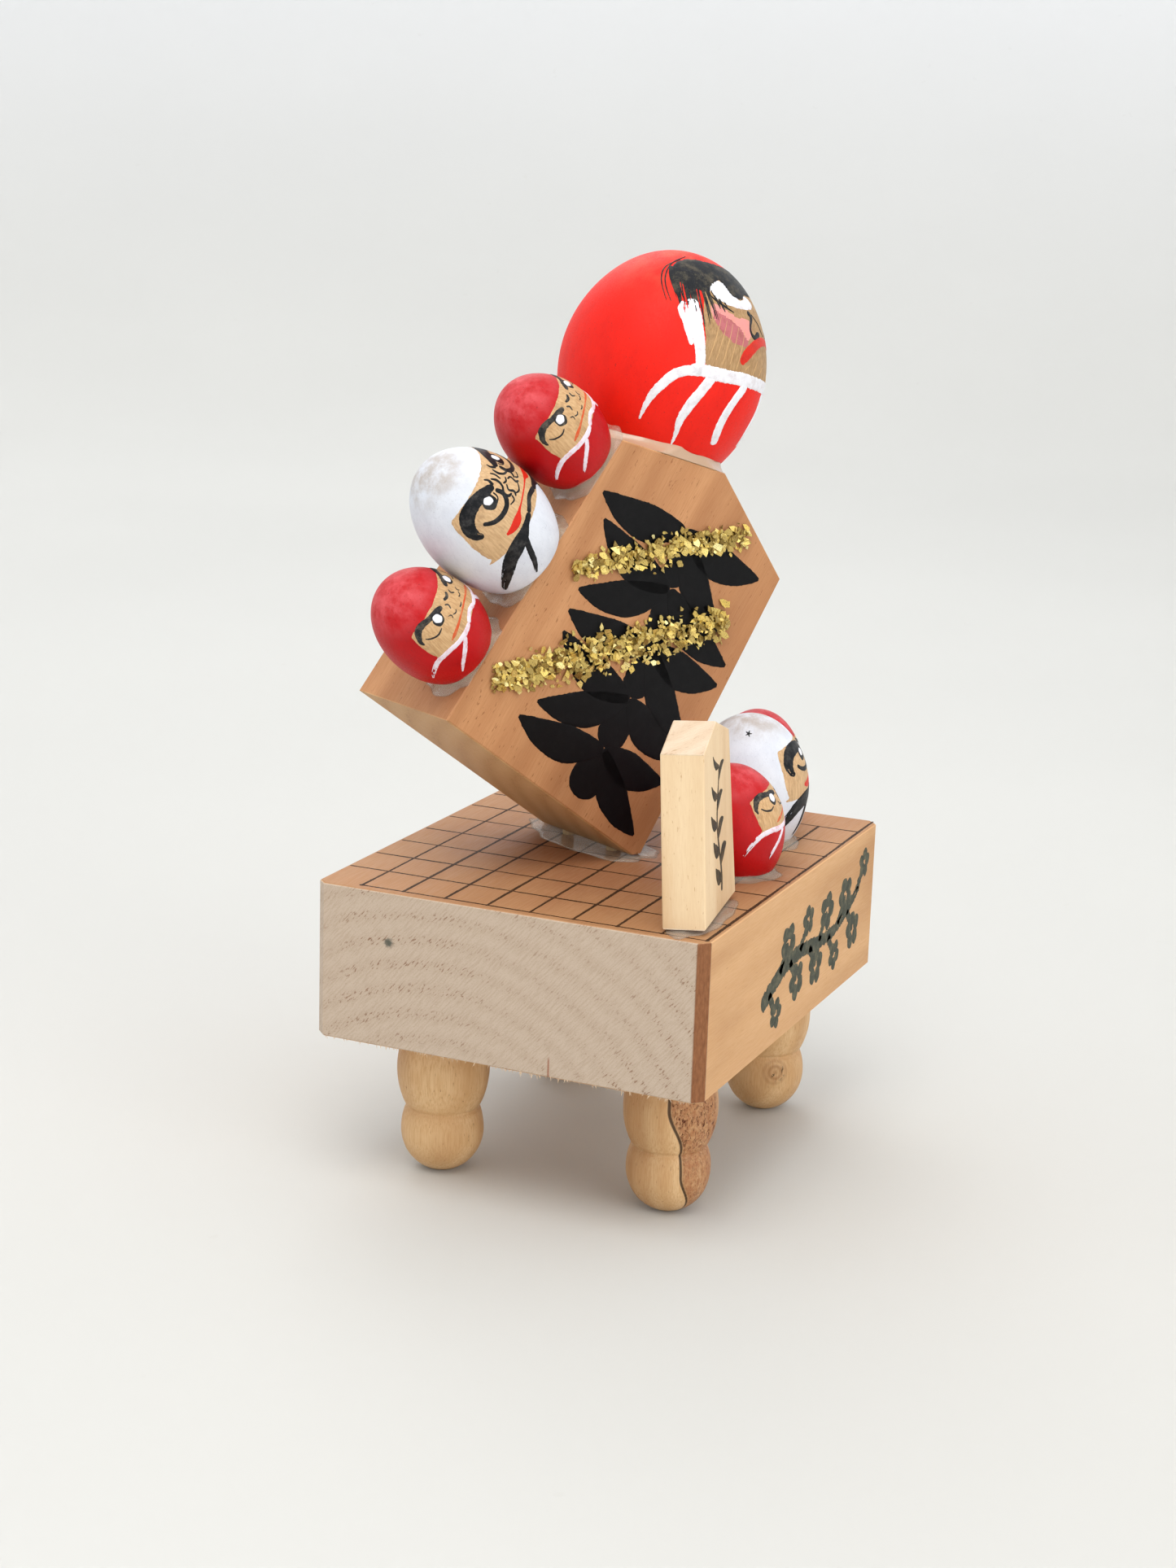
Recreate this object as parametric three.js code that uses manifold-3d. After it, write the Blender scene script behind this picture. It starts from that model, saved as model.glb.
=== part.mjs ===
import * as THREE from "three";
import { mergeVertices } from "three/addons/utils/BufferGeometryUtils.js";
import Module from "manifold-3d";

// A group of seven egg-shaped daruma dolls on a small legged games board with two shogi-shaped plaques.
// Millimetres, +Z up, the board's length along X, its ruled and marked long side facing -Y.

// Gaps between neighbours
const GLUE_GAP = 0.3; // between a glue body and what it touches
const FIT_GAP = 0.2; // radial, round a tenon or a pin in its hole
const HOLE_END_GAP = 0.5; // below the end of a tenon or a pin

// Board block
const BOARD_LENGTH = 110.5;
const BOARD_WIDTH = 91.2;
const BOARD_HEIGHT = 35.0;
const BOARD_CORNER_CHAMFER = 2.0;
const BOARD_ARRIS = 0.35;

// Turned legs: two lobes that meet at a waist, and a tenon
const LEG_HEIGHT = 34.5;
const LEG_UPPER_RADIUS = 10.4;
const LEG_UPPER_DEPTH = 10.5; // from the board's underside down to the widest place
const LEG_UPPER_HALF_HEIGHT = 14.9;
const LEG_LOWER_RADIUS = 9.3;
const LEG_LOWER_DEPTH = 25.1;
const LEG_LOWER_UP = 11.9; // half height above the lower lobe's widest place
const LEG_FOOT_RADIUS = 2.6; // the small flat that rests on the floor
const LEG_TENON_RADIUS = 4.5;
const LEG_TENON_LENGTH = 12.0;
const LEG_SEAT_GAP = 0.3; // glue line under the board
// Centre of each socket from the nearest end and the nearest long side of the board
const LEG_NEAR_BACK_END = 21.7;
const LEG_NEAR_BACK_SIDE = 20.9;
const LEG_NEAR_FRONT_END = 24.2;
const LEG_NEAR_FRONT_SIDE = 16.2;
const LEG_FAR_FRONT_END = 17.8;
const LEG_FAR_FRONT_SIDE = 19.5;
const LEG_FAR_BACK_END = 19.5;
const LEG_FAR_BACK_SIDE = 20.6;

// Large plaque: a five-sided block that stands on one bottom corner
const PLAQUE_BASE_WIDTH = 66.7;
const PLAQUE_SHOULDER_WIDTH = 59.4;
const PLAQUE_SHOULDER_HEIGHT = 72.3;
const PLAQUE_TIP_HEIGHT = 82.3;
const PLAQUE_THICKNESS = 33.0;
const PLAQUE_ARRIS = 0.35;
const PLAQUE_ROLL = 35.66; // degrees that it is turned clockwise, seen from its front
const PLAQUE_YAW = -27.43; // degrees that its front is turned towards the board's near end
const PLAQUE_LEAN = 0.4; // degrees
const PLAQUE_FOOT_X = 60.15; // middle of the corner edge that it stands on, from the near end
const PLAQUE_FOOT_Y = 52.43; // the same, from the front side
const PLAQUE_FOOT_FLAT = 1.4; // height cut off that corner to make a flat
const PLAQUE_FOOT_GLUE = 0.9; // thickness of the glue line under the flat

// Pins between the board and the large plaque
const PIN_RADIUS = 1.5;
const PIN_IN_BOARD = 10.0;
const PIN_IN_PLAQUE = 12.0;
const PIN_SPACING = 16.0;

// Small plaque
const SMALL_BASE_WIDTH = 30.0;
const SMALL_SHOULDER_WIDTH = 25.0;
const SMALL_SHOULDER_HEIGHT = 36.5;
const SMALL_TIP_HEIGHT = 40.8;
const SMALL_THICKNESS = 9.2;
const SMALL_ARRIS = 0.25;
const SMALL_YAW = 9.46; // degrees
const SMALL_LEAN = -3.9; // degrees, towards the board's back
const SMALL_X = 18.64;
const SMALL_Y = 9.3;
const SMALL_GLUE = 0.7; // lowest place of its foot above the board

// Daruma eggs: radius, half height, and how far above its seat the egg's centre is
const BIG_RADIUS = 23.1;
const BIG_HALF_HEIGHT = 27.1;
const BIG_SEAT_DEPTH = 16.6;
const BIG_GLUE = 1.9;
const WHITE_SLOPE_RADIUS = 13.4;
const WHITE_SLOPE_HALF_HEIGHT = 19.4;
const WHITE_SLOPE_SEAT_DEPTH = 12.8;
const RED_UPPER_RADIUS = 10.8;
const RED_UPPER_HALF_HEIGHT = 15.2;
const RED_UPPER_SEAT_DEPTH = 10.0;
const RED_LOWER_RADIUS = 11.2;
const RED_LOWER_HALF_HEIGHT = 14.9;
const RED_LOWER_SEAT_DEPTH = 9.9;
const RED_NEAR_RADIUS = 11.4;
const RED_NEAR_HALF_HEIGHT = 14.2;
const RED_NEAR_SEAT_DEPTH = 9.4;
const WHITE_BOARD_RADIUS = 13.5;
const WHITE_BOARD_HALF_HEIGHT = 17.5;
const WHITE_BOARD_SEAT_DEPTH = 11.5;
const RED_FAR_RADIUS = 11.0;
const RED_FAR_HALF_HEIGHT = 14.6;
const RED_FAR_SEAT_DEPTH = 9.6;
const SMALL_EGG_GLUE = 1.0; // glue line under each smaller egg

// Places along the plaque's facets, from the lower end of each, and across them from their middle
const BIG_ALONG = 20.9;
const BIG_ACROSS = 1.8;
const RED_UPPER_ALONG = 65.5;
const RED_UPPER_ACROSS = -8.4;
const WHITE_SLOPE_ALONG = 40.3;
const WHITE_SLOPE_ACROSS = -9.0;
const RED_LOWER_ALONG = 15.4;
const RED_LOWER_ACROSS = -8.9;
// Places on the board, from its near end and front side
const RED_NEAR_X = 53.1;
const RED_NEAR_Y = 15.4;
const RED_NEAR_TILT_X = -0.117; // sideways lean of the egg's axis for each unit of height
const RED_NEAR_TILT_Y = 0.15;
const WHITE_BOARD_X = 79.9;
const WHITE_BOARD_Y = 21.9;
const WHITE_BOARD_TILT_X = -0.08;
const RED_FAR_X = 103.9;
const RED_FAR_Y = 29.2;

// Glue beads round the seats
const BIG_BEAD_SPREAD = 2.2;
const BIG_BEAD_HEIGHT = 3.6;
const BEAD_SPREAD = 2.4;
const BEAD_HEIGHT = 2.6;
const FOOT_POOL_WIDTH = 21.0;
const FOOT_POOL_OVERRUN = 5.0;
const FOOT_POOL_HEIGHT = 3.4;
const SMALL_BEAD_SPREAD = 2.2;
const SMALL_BEAD_HEIGHT = 1.9;

// Bands of gold flakes across the large plaque's front
const BAND_THICKNESS = 1.3;
const BAND_UPPER_START = [-24.0, 43.4];
const BAND_UPPER_END = [14.0, 74.6];
const BAND_UPPER_WIDTH = 6.6;
const BAND_LOWER_START = [-28.0, 13.2];
const BAND_LOWER_END = [20.4, 55.6];
const BAND_LOWER_WIDTH = 9.6;

const LEG_SEGMENTS = 20;
const EGG_SEGMENTS = 28;
const EGG_ROWS = 12;

const wasm = await Module();
wasm.setup();

const material = (name, color, roughness, metalness = 0, extra = {}) =>
  new THREE.MeshStandardMaterial({ name, color, roughness, metalness, ...extra });

const boardWood = material("board_wood", 0xcf9f74, 0.62);
const legWood = material("leg_wood", 0xd2a468, 0.55);
const plaqueWood = material("plaque_wood", 0xc08a5e, 0.6);
const smallPlaqueWood = material("small_plaque_wood", 0xdcb583, 0.58);
const pinWood = material("pin_wood", 0xd8bb8a, 0.6);
const vermilion = material("vermilion_paint", 0xe23b22, 0.55);
const crimson = material("crimson_paint", 0xc11f2e, 0.55);
const whitePaint = material("white_paint", 0xdfe2ea, 0.55);
const glueCloudy = material("cloudy_glue", 0xe3d3c4, 0.4, 0, { transparent: true, opacity: 0.8 });
const glueClear = material("clear_glue", 0xefe4d4, 0.12, 0, { transparent: true, opacity: 0.45 });
const goldFlakes = material("gold_flakes", 0xb9923d, 0.35, 0.75);

const radians = THREE.MathUtils.degToRad;

// A closed geometry, moved by a matrix, as a manifold-3d solid
function solidOf(geometry, matrix = new THREE.Matrix4()) {
  const bare = geometry.clone().applyMatrix4(matrix);
  bare.deleteAttribute("normal");
  bare.deleteAttribute("uv");
  const merged = mergeVertices(bare, 1e-4);
  return new wasm.Manifold(
    new wasm.Mesh({
      numProp: 3,
      vertProperties: new Float32Array(merged.attributes.position.array),
      triVerts: new Uint32Array(merged.index.array),
    }),
  );
}

// A solid back to a named mesh
function meshOf(solid, name, look) {
  const made = solid.getMesh();
  const count = made.numProp;
  const points = new Float32Array(made.numVert * 3);
  for (let i = 0; i < made.numVert; i++) {
    points.set(made.vertProperties.subarray(i * count, i * count + 3), i * 3);
  }
  const geometry = new THREE.BufferGeometry();
  geometry.setAttribute("position", new THREE.BufferAttribute(points, 3));
  geometry.setIndex(new THREE.BufferAttribute(made.triVerts, 1));
  geometry.computeVertexNormals();
  const mesh = new THREE.Mesh(geometry, look);
  mesh.name = name;
  return mesh;
}

const moved = (x, y, z) => new THREE.Matrix4().makeTranslation(x, y, z);
const boxBetween = (low, high) => {
  const size = [high[0] - low[0], high[1] - low[1], high[2] - low[2]];
  const box = new THREE.BoxGeometry(...size);
  box.translate((low[0] + high[0]) / 2, (low[1] + high[1]) / 2, (low[2] + high[2]) / 2);
  return box;
};

// A cylinder along +Z that stands on the origin
function post(radius, height, segments = 20) {
  const cylinder = new THREE.CylinderGeometry(radius, radius, height, segments);
  cylinder.rotateX(Math.PI / 2);
  cylinder.translate(0, 0, height / 2);
  return cylinder;
}

// A lathe profile of [radius, height] pairs from the bottom up, turned about Z
function turned(profile, segments) {
  const lathe = new THREE.LatheGeometry(
    profile.map(([r, z]) => new THREE.Vector2(r, z)),
    segments,
  );
  lathe.rotateX(Math.PI / 2);
  return lathe;
}

// A flat outline in XY, extruded along Z from 0, with a small bevel on all its rim
function slab(outline, depth, bevel) {
  const shape = new THREE.Shape(outline.map(([x, y]) => new THREE.Vector2(x, y)));
  const extruded = new THREE.ExtrudeGeometry(shape, {
    depth: depth - 2 * bevel,
    bevelEnabled: bevel > 0,
    bevelSize: bevel,
    bevelThickness: bevel,
    bevelOffset: -bevel,
    bevelSegments: 1,
    curveSegments: 8,
  });
  extruded.translate(0, 0, bevel);
  return extruded;
}

// ---------------------------------------------------------------- board and legs
const boardBottom = LEG_HEIGHT;
const boardTop = boardBottom + BOARD_HEIGHT;
const c = BOARD_CORNER_CHAMFER;
const boardOutline = [
  [c, 0],
  [BOARD_LENGTH - c, 0],
  [BOARD_LENGTH, c],
  [BOARD_LENGTH, BOARD_WIDTH - c],
  [BOARD_LENGTH - c, BOARD_WIDTH],
  [c, BOARD_WIDTH],
  [0, BOARD_WIDTH - c],
  [0, c],
];
const boardMatrix = moved(0, 0, boardBottom);
let board = solidOf(slab(boardOutline, BOARD_HEIGHT, BOARD_ARRIS), boardMatrix);

const legPlaces = {
  leg_near_back: [LEG_NEAR_BACK_END, BOARD_WIDTH - LEG_NEAR_BACK_SIDE, 10],
  leg_near_front: [LEG_NEAR_FRONT_END, LEG_NEAR_FRONT_SIDE, 75],
  leg_far_front: [BOARD_LENGTH - LEG_FAR_FRONT_END, LEG_FAR_FRONT_SIDE, 140],
  leg_far_back: [BOARD_LENGTH - LEG_FAR_BACK_END, BOARD_WIDTH - LEG_FAR_BACK_SIDE, 205],
};

// Radius of a leg at a depth below the board's underside
const upperLobe = (depth) => {
  const u = (depth - LEG_UPPER_DEPTH) / LEG_UPPER_HALF_HEIGHT;
  return u * u >= 1 ? 0 : LEG_UPPER_RADIUS * Math.sqrt(1 - u * u);
};
const legLowerDown = (LEG_HEIGHT - LEG_LOWER_DEPTH) /
  Math.sqrt(1 - (LEG_FOOT_RADIUS / LEG_LOWER_RADIUS) ** 2);
const lowerLobe = (depth) => {
  const half = depth < LEG_LOWER_DEPTH ? LEG_LOWER_UP : legLowerDown;
  const u = (depth - LEG_LOWER_DEPTH) / half;
  return u * u >= 1 ? 0 : LEG_LOWER_RADIUS * Math.sqrt(1 - u * u);
};
let waistHigh = LEG_UPPER_DEPTH;
let waistLow = LEG_LOWER_DEPTH;
for (let i = 0; i < 40; i++) {
  const middle = (waistHigh + waistLow) / 2;
  if (upperLobe(middle) > lowerLobe(middle)) waistHigh = middle;
  else waistLow = middle;
}
const waistDepth = waistHigh;
const legProfile = [[0, 0]];
const lowerRows = 7;
for (let i = 0; i <= lowerRows; i++) {
  // even steps of angle round the lower lobe, closer together near the foot
  const t = i / lowerRows;
  const depth = LEG_HEIGHT - (LEG_HEIGHT - waistDepth) * t ** 1.6;
  legProfile.push([lowerLobe(depth), LEG_HEIGHT - depth]);
}
const upperRows = 5;
for (let i = 1; i <= upperRows; i++) {
  const depth = waistDepth + (LEG_SEAT_GAP - waistDepth) * (i / upperRows);
  legProfile.push([upperLobe(depth), LEG_HEIGHT - depth]);
}
legProfile.push([LEG_TENON_RADIUS, LEG_HEIGHT - LEG_SEAT_GAP]);
legProfile.push([LEG_TENON_RADIUS, LEG_HEIGHT + LEG_TENON_LENGTH - 0.8]);
legProfile.push([LEG_TENON_RADIUS - 0.8, LEG_HEIGHT + LEG_TENON_LENGTH]);
legProfile.push([0, LEG_HEIGHT + LEG_TENON_LENGTH]);

const object = new THREE.Group();
for (const [name, [x, y, spin]] of Object.entries(legPlaces)) {
  const leg = new THREE.Mesh(turned(legProfile, LEG_SEGMENTS), legWood);
  leg.name = name;
  leg.position.set(x, y, 0);
  leg.rotation.z = radians(spin);
  object.add(leg);
  const socketLength = LEG_TENON_LENGTH + HOLE_END_GAP + 1;
  const socket = post(LEG_TENON_RADIUS + FIT_GAP, socketLength, LEG_SEGMENTS);
  board = board.subtract(solidOf(socket, moved(x, y, boardBottom - 1)));
}

// ---------------------------------------------------------------- large plaque
// Its own frame: x across the width, z up its height, y through the thickness, front at -y
const plaqueProfile = [
  [-PLAQUE_BASE_WIDTH / 2, 0],
  [PLAQUE_BASE_WIDTH / 2, 0],
  [PLAQUE_SHOULDER_WIDTH / 2, PLAQUE_SHOULDER_HEIGHT],
  [0, PLAQUE_TIP_HEIGHT],
  [-PLAQUE_SHOULDER_WIDTH / 2, PLAQUE_SHOULDER_HEIGHT],
];
function upright(profile, thickness, arris) {
  const block = slab(profile, thickness, arris);
  block.rotateX(Math.PI / 2);
  block.translate(0, thickness / 2, 0);
  return block;
}
const plaqueTurn = new THREE.Matrix4().makeRotationFromEuler(
  new THREE.Euler(radians(PLAQUE_LEAN), radians(PLAQUE_ROLL), radians(PLAQUE_YAW), "ZXY"),
);
// the standing corner edge is the lower right one
const cornerLocal = new THREE.Vector3(PLAQUE_BASE_WIDTH / 2, 0, 0);
const cornerTurned = cornerLocal.clone().applyMatrix4(plaqueTurn);
const cornerHeight = boardTop + PLAQUE_FOOT_GLUE - PLAQUE_FOOT_FLAT;
const plaqueMatrix = moved(
  PLAQUE_FOOT_X - cornerTurned.x,
  PLAQUE_FOOT_Y - cornerTurned.y,
  cornerHeight - cornerTurned.z,
).multiply(plaqueTurn);
const plaqueBlock = upright(plaqueProfile, PLAQUE_THICKNESS, PLAQUE_ARRIS);
let plaque = solidOf(plaqueBlock, plaqueMatrix);
const footLevel = boardTop + PLAQUE_FOOT_GLUE;
const wide = 3 * BOARD_LENGTH;
plaque = plaque.subtract(solidOf(boxBetween([-wide, -wide, 0], [wide, wide, footLevel])));

// the same block grown on every side, which cuts the glue that runs up to it
const grown = (profile, margin) => {
  const corners = profile.map(([x, y]) => new THREE.Vector2(x, y));
  return corners.map((corner, i) => {
    const before = corners[(i + corners.length - 1) % corners.length];
    const after = corners[(i + 1) % corners.length];
    const a = corner.clone().sub(before).normalize();
    const b = after.clone().sub(corner).normalize();
    const na = new THREE.Vector2(a.y, -a.x);
    const nb = new THREE.Vector2(b.y, -b.x);
    const k = margin / (1 + na.dot(nb));
    return [corner.x + (na.x + nb.x) * k, corner.y + (na.y + nb.y) * k];
  });
};
const plaqueKeepOut = solidOf(
  upright(grown(plaqueProfile, GLUE_GAP), PLAQUE_THICKNESS + 2 * GLUE_GAP, 0),
  plaqueMatrix,
);

// pins, upright, in line under the middle of the foot's flat
const edgeWay = new THREE.Vector3(0, 1, 0).applyMatrix4(plaqueTurn).setZ(0).normalize();
const rollRise = radians(PLAQUE_ROLL);
const flankRise = Math.atan2(
  PLAQUE_SHOULDER_HEIGHT,
  (PLAQUE_BASE_WIDTH - PLAQUE_SHOULDER_WIDTH) / 2,
);
const leftReach = PLAQUE_FOOT_FLAT / Math.tan(rollRise);
const rightReach = PLAQUE_FOOT_FLAT / Math.tan(Math.PI - rollRise - flankRise);
const acrossWay = new THREE.Vector3(edgeWay.y, -edgeWay.x, 0);
const pinShift = (rightReach - leftReach) / 2;
const pinNodes = [];
let pinKeepOut = null;
for (const [name, side] of [["plaque_pin_front", -1], ["plaque_pin_back", 1]]) {
  const x = PLAQUE_FOOT_X + acrossWay.x * pinShift + (edgeWay.x * side * PIN_SPACING) / 2;
  const y = PLAQUE_FOOT_Y + acrossWay.y * pinShift + (edgeWay.y * side * PIN_SPACING) / 2;
  const pinLength = PIN_IN_BOARD + PLAQUE_FOOT_GLUE + PIN_IN_PLAQUE;
  const pin = new THREE.Mesh(post(PIN_RADIUS, pinLength, 16), pinWood);
  pin.name = name;
  pin.position.set(x, y, boardTop - PIN_IN_BOARD);
  pinNodes.push(pin);
  const hole = solidOf(
    post(PIN_RADIUS + FIT_GAP, pinLength + 2 * HOLE_END_GAP, 16),
    moved(x, y, boardTop - PIN_IN_BOARD - HOLE_END_GAP),
  );
  board = board.subtract(hole);
  plaque = plaque.subtract(hole);
  const round = solidOf(
    post(PIN_RADIUS + GLUE_GAP, pinLength + 2 * HOLE_END_GAP, 16),
    moved(x, y, boardTop - PIN_IN_BOARD - HOLE_END_GAP),
  );
  pinKeepOut = pinKeepOut ? pinKeepOut.add(round) : round;
}
object.add(meshOf(board, "board", boardWood));
object.add(meshOf(plaque, "plaque_large", plaqueWood));
pinNodes.forEach((pin) => object.add(pin));

// ---------------------------------------------------------------- daruma eggs and their glue
// A frame on a flat host face: z out of the face, origin at the seat's middle
function faceFrame(origin, out, along) {
  const z = out.clone().normalize();
  const x = along.clone().addScaledVector(z, -along.dot(z)).normalize();
  const y = z.clone().cross(x);
  return new THREE.Matrix4().makeBasis(x, y, z).setPosition(origin);
}

function eggProfile(radius, half) {
  const profile = [];
  for (let i = 0; i <= EGG_ROWS; i++) {
    const angle = -Math.PI / 2 + (Math.PI * i) / EGG_ROWS;
    const r = i === 0 || i === EGG_ROWS ? 0 : radius * Math.cos(angle);
    profile.push([r, half * Math.sin(angle)]);
  }
  return profile;
}

// An egg whose lower end is cut flat by its host face, with the glue bead that holds it.
// The bead stays within hostSolid, the room over the host's own face.
function egg(name, look, frame, size, glue, hostRoom) {
  const { radius, half, seatDepth, tilt = [0, 0] } = size;
  const axis = new THREE.Vector3(tilt[0], tilt[1], 1).normalize();
  const lean = new THREE.Matrix4().makeRotationFromQuaternion(
    new THREE.Quaternion().setFromUnitVectors(new THREE.Vector3(0, 0, 1), axis),
  );
  const centre = frame.clone().multiply(moved(0, 0, glue.line + seatDepth)).multiply(lean);
  const under = boxBetween([-wide, -wide, -wide], [wide, wide, glue.line]);
  const body = solidOf(turned(eggProfile(radius, half), EGG_SEGMENTS), centre)
    .subtract(solidOf(under, frame));
  object.add(meshOf(body, name, look));

  const seatRadius = radius * Math.sqrt(1 - (seatDepth / half) ** 2);
  const blob = new THREE.SphereGeometry(1, 22, 8);
  blob.rotateX(Math.PI / 2);
  blob.scale(seatRadius + glue.spread, seatRadius + glue.spread, glue.height);
  const film = boxBetween([-wide, -wide, -wide], [wide, wide, GLUE_GAP]);
  const larger = turned(eggProfile(radius + GLUE_GAP, half + GLUE_GAP), EGG_SEGMENTS);
  const underLarger = boxBetween([-wide, -wide, -wide], [wide, wide, glue.line - GLUE_GAP]);
  let bead = solidOf(blob, frame).subtract(solidOf(film, frame));
  bead = bead.subtract(solidOf(larger, centre).subtract(solidOf(underLarger, frame)));
  if (hostRoom) bead = bead.intersect(hostRoom);
  object.add(meshOf(bead, "glue_" + name, glue.look));
  return bead;
}

const plaquePoint = (x, y, z) => new THREE.Vector3(x, y, z).applyMatrix4(plaqueMatrix);
const plaqueWay = (x, y, z) => new THREE.Vector3(x, y, z).applyMatrix4(plaqueTurn);

// the upper left long side, from the base corner up to the shoulder
const flankRun = new THREE.Vector2(
  (PLAQUE_BASE_WIDTH - PLAQUE_SHOULDER_WIDTH) / 2,
  PLAQUE_SHOULDER_HEIGHT,
);
const flankUnit = flankRun.clone().normalize();
function flankFrame(along, across) {
  const x = -PLAQUE_BASE_WIDTH / 2 + flankUnit.x * along;
  const z = flankUnit.y * along;
  return faceFrame(
    plaquePoint(x, across, z),
    plaqueWay(-flankUnit.y, 0, flankUnit.x),
    plaqueWay(flankUnit.x, 0, flankUnit.y),
  );
}
// the short facet from the shoulder up to the tip
const facetRun = new THREE.Vector2(
  PLAQUE_SHOULDER_WIDTH / 2,
  PLAQUE_TIP_HEIGHT - PLAQUE_SHOULDER_HEIGHT,
);
const facetUnit = facetRun.clone().normalize();
function facetFrame(along, across) {
  const x = -PLAQUE_SHOULDER_WIDTH / 2 + facetUnit.x * along;
  const z = PLAQUE_SHOULDER_HEIGHT + facetUnit.y * along;
  return faceFrame(
    plaquePoint(x, across, z),
    plaqueWay(-facetUnit.y, 0, facetUnit.x),
    plaqueWay(facetUnit.x, 0, facetUnit.y),
  );
}
// the space over the whole plaque within its thickness, and over the board within its outline
const plaqueRoom = solidOf(
  boxBetween(
    [-wide, -PLAQUE_THICKNESS / 2, -wide],
    [wide, PLAQUE_THICKNESS / 2, wide],
  ),
  plaqueMatrix,
);
const plaqueFlankRoom = plaqueRoom.intersect(
  solidOf(boxBetween([-wide, -wide, 0.5], [wide, wide, PLAQUE_SHOULDER_HEIGHT]), plaqueMatrix),
);
const plaqueFacetRoom = plaqueRoom.intersect(
  solidOf(boxBetween([-PLAQUE_SHOULDER_WIDTH / 2, -wide, 0], [0, wide, wide]), plaqueMatrix),
);
const boardRoom = solidOf(
  boxBetween([0.5, 0.5, boardTop], [BOARD_LENGTH - 0.5, BOARD_WIDTH - 0.5, boardTop + wide]),
);
const boardFrame = (x, y) =>
  faceFrame(
    new THREE.Vector3(x, y, boardTop),
    new THREE.Vector3(0, 0, 1),
    new THREE.Vector3(1, 0, 0),
  );

const clearBead = {
  line: SMALL_EGG_GLUE,
  spread: BEAD_SPREAD,
  height: BEAD_HEIGHT,
  look: glueClear,
};
const cloudyBead = {
  line: BIG_GLUE,
  spread: BIG_BEAD_SPREAD,
  height: BIG_BEAD_HEIGHT,
  look: glueCloudy,
};
egg(
  "daruma_large",
  vermilion,
  facetFrame(BIG_ALONG, BIG_ACROSS),
  { radius: BIG_RADIUS, half: BIG_HALF_HEIGHT, seatDepth: BIG_SEAT_DEPTH },
  cloudyBead,
  plaqueFacetRoom,
);
egg(
  "daruma_slope_upper",
  crimson,
  flankFrame(RED_UPPER_ALONG, RED_UPPER_ACROSS),
  { radius: RED_UPPER_RADIUS, half: RED_UPPER_HALF_HEIGHT, seatDepth: RED_UPPER_SEAT_DEPTH },
  clearBead,
  plaqueFlankRoom,
);
egg(
  "daruma_slope_middle",
  whitePaint,
  flankFrame(WHITE_SLOPE_ALONG, WHITE_SLOPE_ACROSS),
  {
    radius: WHITE_SLOPE_RADIUS,
    half: WHITE_SLOPE_HALF_HEIGHT,
    seatDepth: WHITE_SLOPE_SEAT_DEPTH,
  },
  clearBead,
  plaqueFlankRoom,
);
egg(
  "daruma_slope_lower",
  crimson,
  flankFrame(RED_LOWER_ALONG, RED_LOWER_ACROSS),
  { radius: RED_LOWER_RADIUS, half: RED_LOWER_HALF_HEIGHT, seatDepth: RED_LOWER_SEAT_DEPTH },
  clearBead,
  plaqueFlankRoom,
);
egg(
  "daruma_board_near",
  crimson,
  boardFrame(RED_NEAR_X, RED_NEAR_Y),
  {
    radius: RED_NEAR_RADIUS,
    half: RED_NEAR_HALF_HEIGHT,
    seatDepth: RED_NEAR_SEAT_DEPTH,
    tilt: [RED_NEAR_TILT_X, RED_NEAR_TILT_Y],
  },
  clearBead,
  boardRoom,
);
egg(
  "daruma_board_middle",
  whitePaint,
  boardFrame(WHITE_BOARD_X, WHITE_BOARD_Y),
  {
    radius: WHITE_BOARD_RADIUS,
    half: WHITE_BOARD_HALF_HEIGHT,
    seatDepth: WHITE_BOARD_SEAT_DEPTH,
    tilt: [WHITE_BOARD_TILT_X, 0],
  },
  clearBead,
  boardRoom,
);
egg(
  "daruma_board_far",
  crimson,
  boardFrame(RED_FAR_X, RED_FAR_Y),
  { radius: RED_FAR_RADIUS, half: RED_FAR_HALF_HEIGHT, seatDepth: RED_FAR_SEAT_DEPTH },
  clearBead,
  boardRoom,
);

// ---------------------------------------------------------------- glue pool at the large plaque's foot
const poolLength = PLAQUE_THICKNESS + 2 * FOOT_POOL_OVERRUN;
const pool = new THREE.SphereGeometry(1, 28, 10);
pool.rotateX(Math.PI / 2);
pool.scale(FOOT_POOL_WIDTH / 2, poolLength / 2, FOOT_POOL_HEIGHT);
const poolFrame = new THREE.Matrix4()
  .makeBasis(acrossWay, edgeWay, new THREE.Vector3(0, 0, 1))
  .setPosition(PLAQUE_FOOT_X, PLAQUE_FOOT_Y, boardTop);
let footPool = solidOf(pool, poolFrame);
const belowFilm = boxBetween([-wide, -wide, 0], [wide, wide, boardTop + GLUE_GAP]);
footPool = footPool.subtract(solidOf(belowFilm));
const footKeepOut = plaqueKeepOut.subtract(
  solidOf(boxBetween([-wide, -wide, 0], [wide, wide, footLevel - GLUE_GAP])),
);
footPool = footPool.subtract(footKeepOut).subtract(pinKeepOut);
object.add(meshOf(footPool, "glue_plaque_foot", glueClear));

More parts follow.
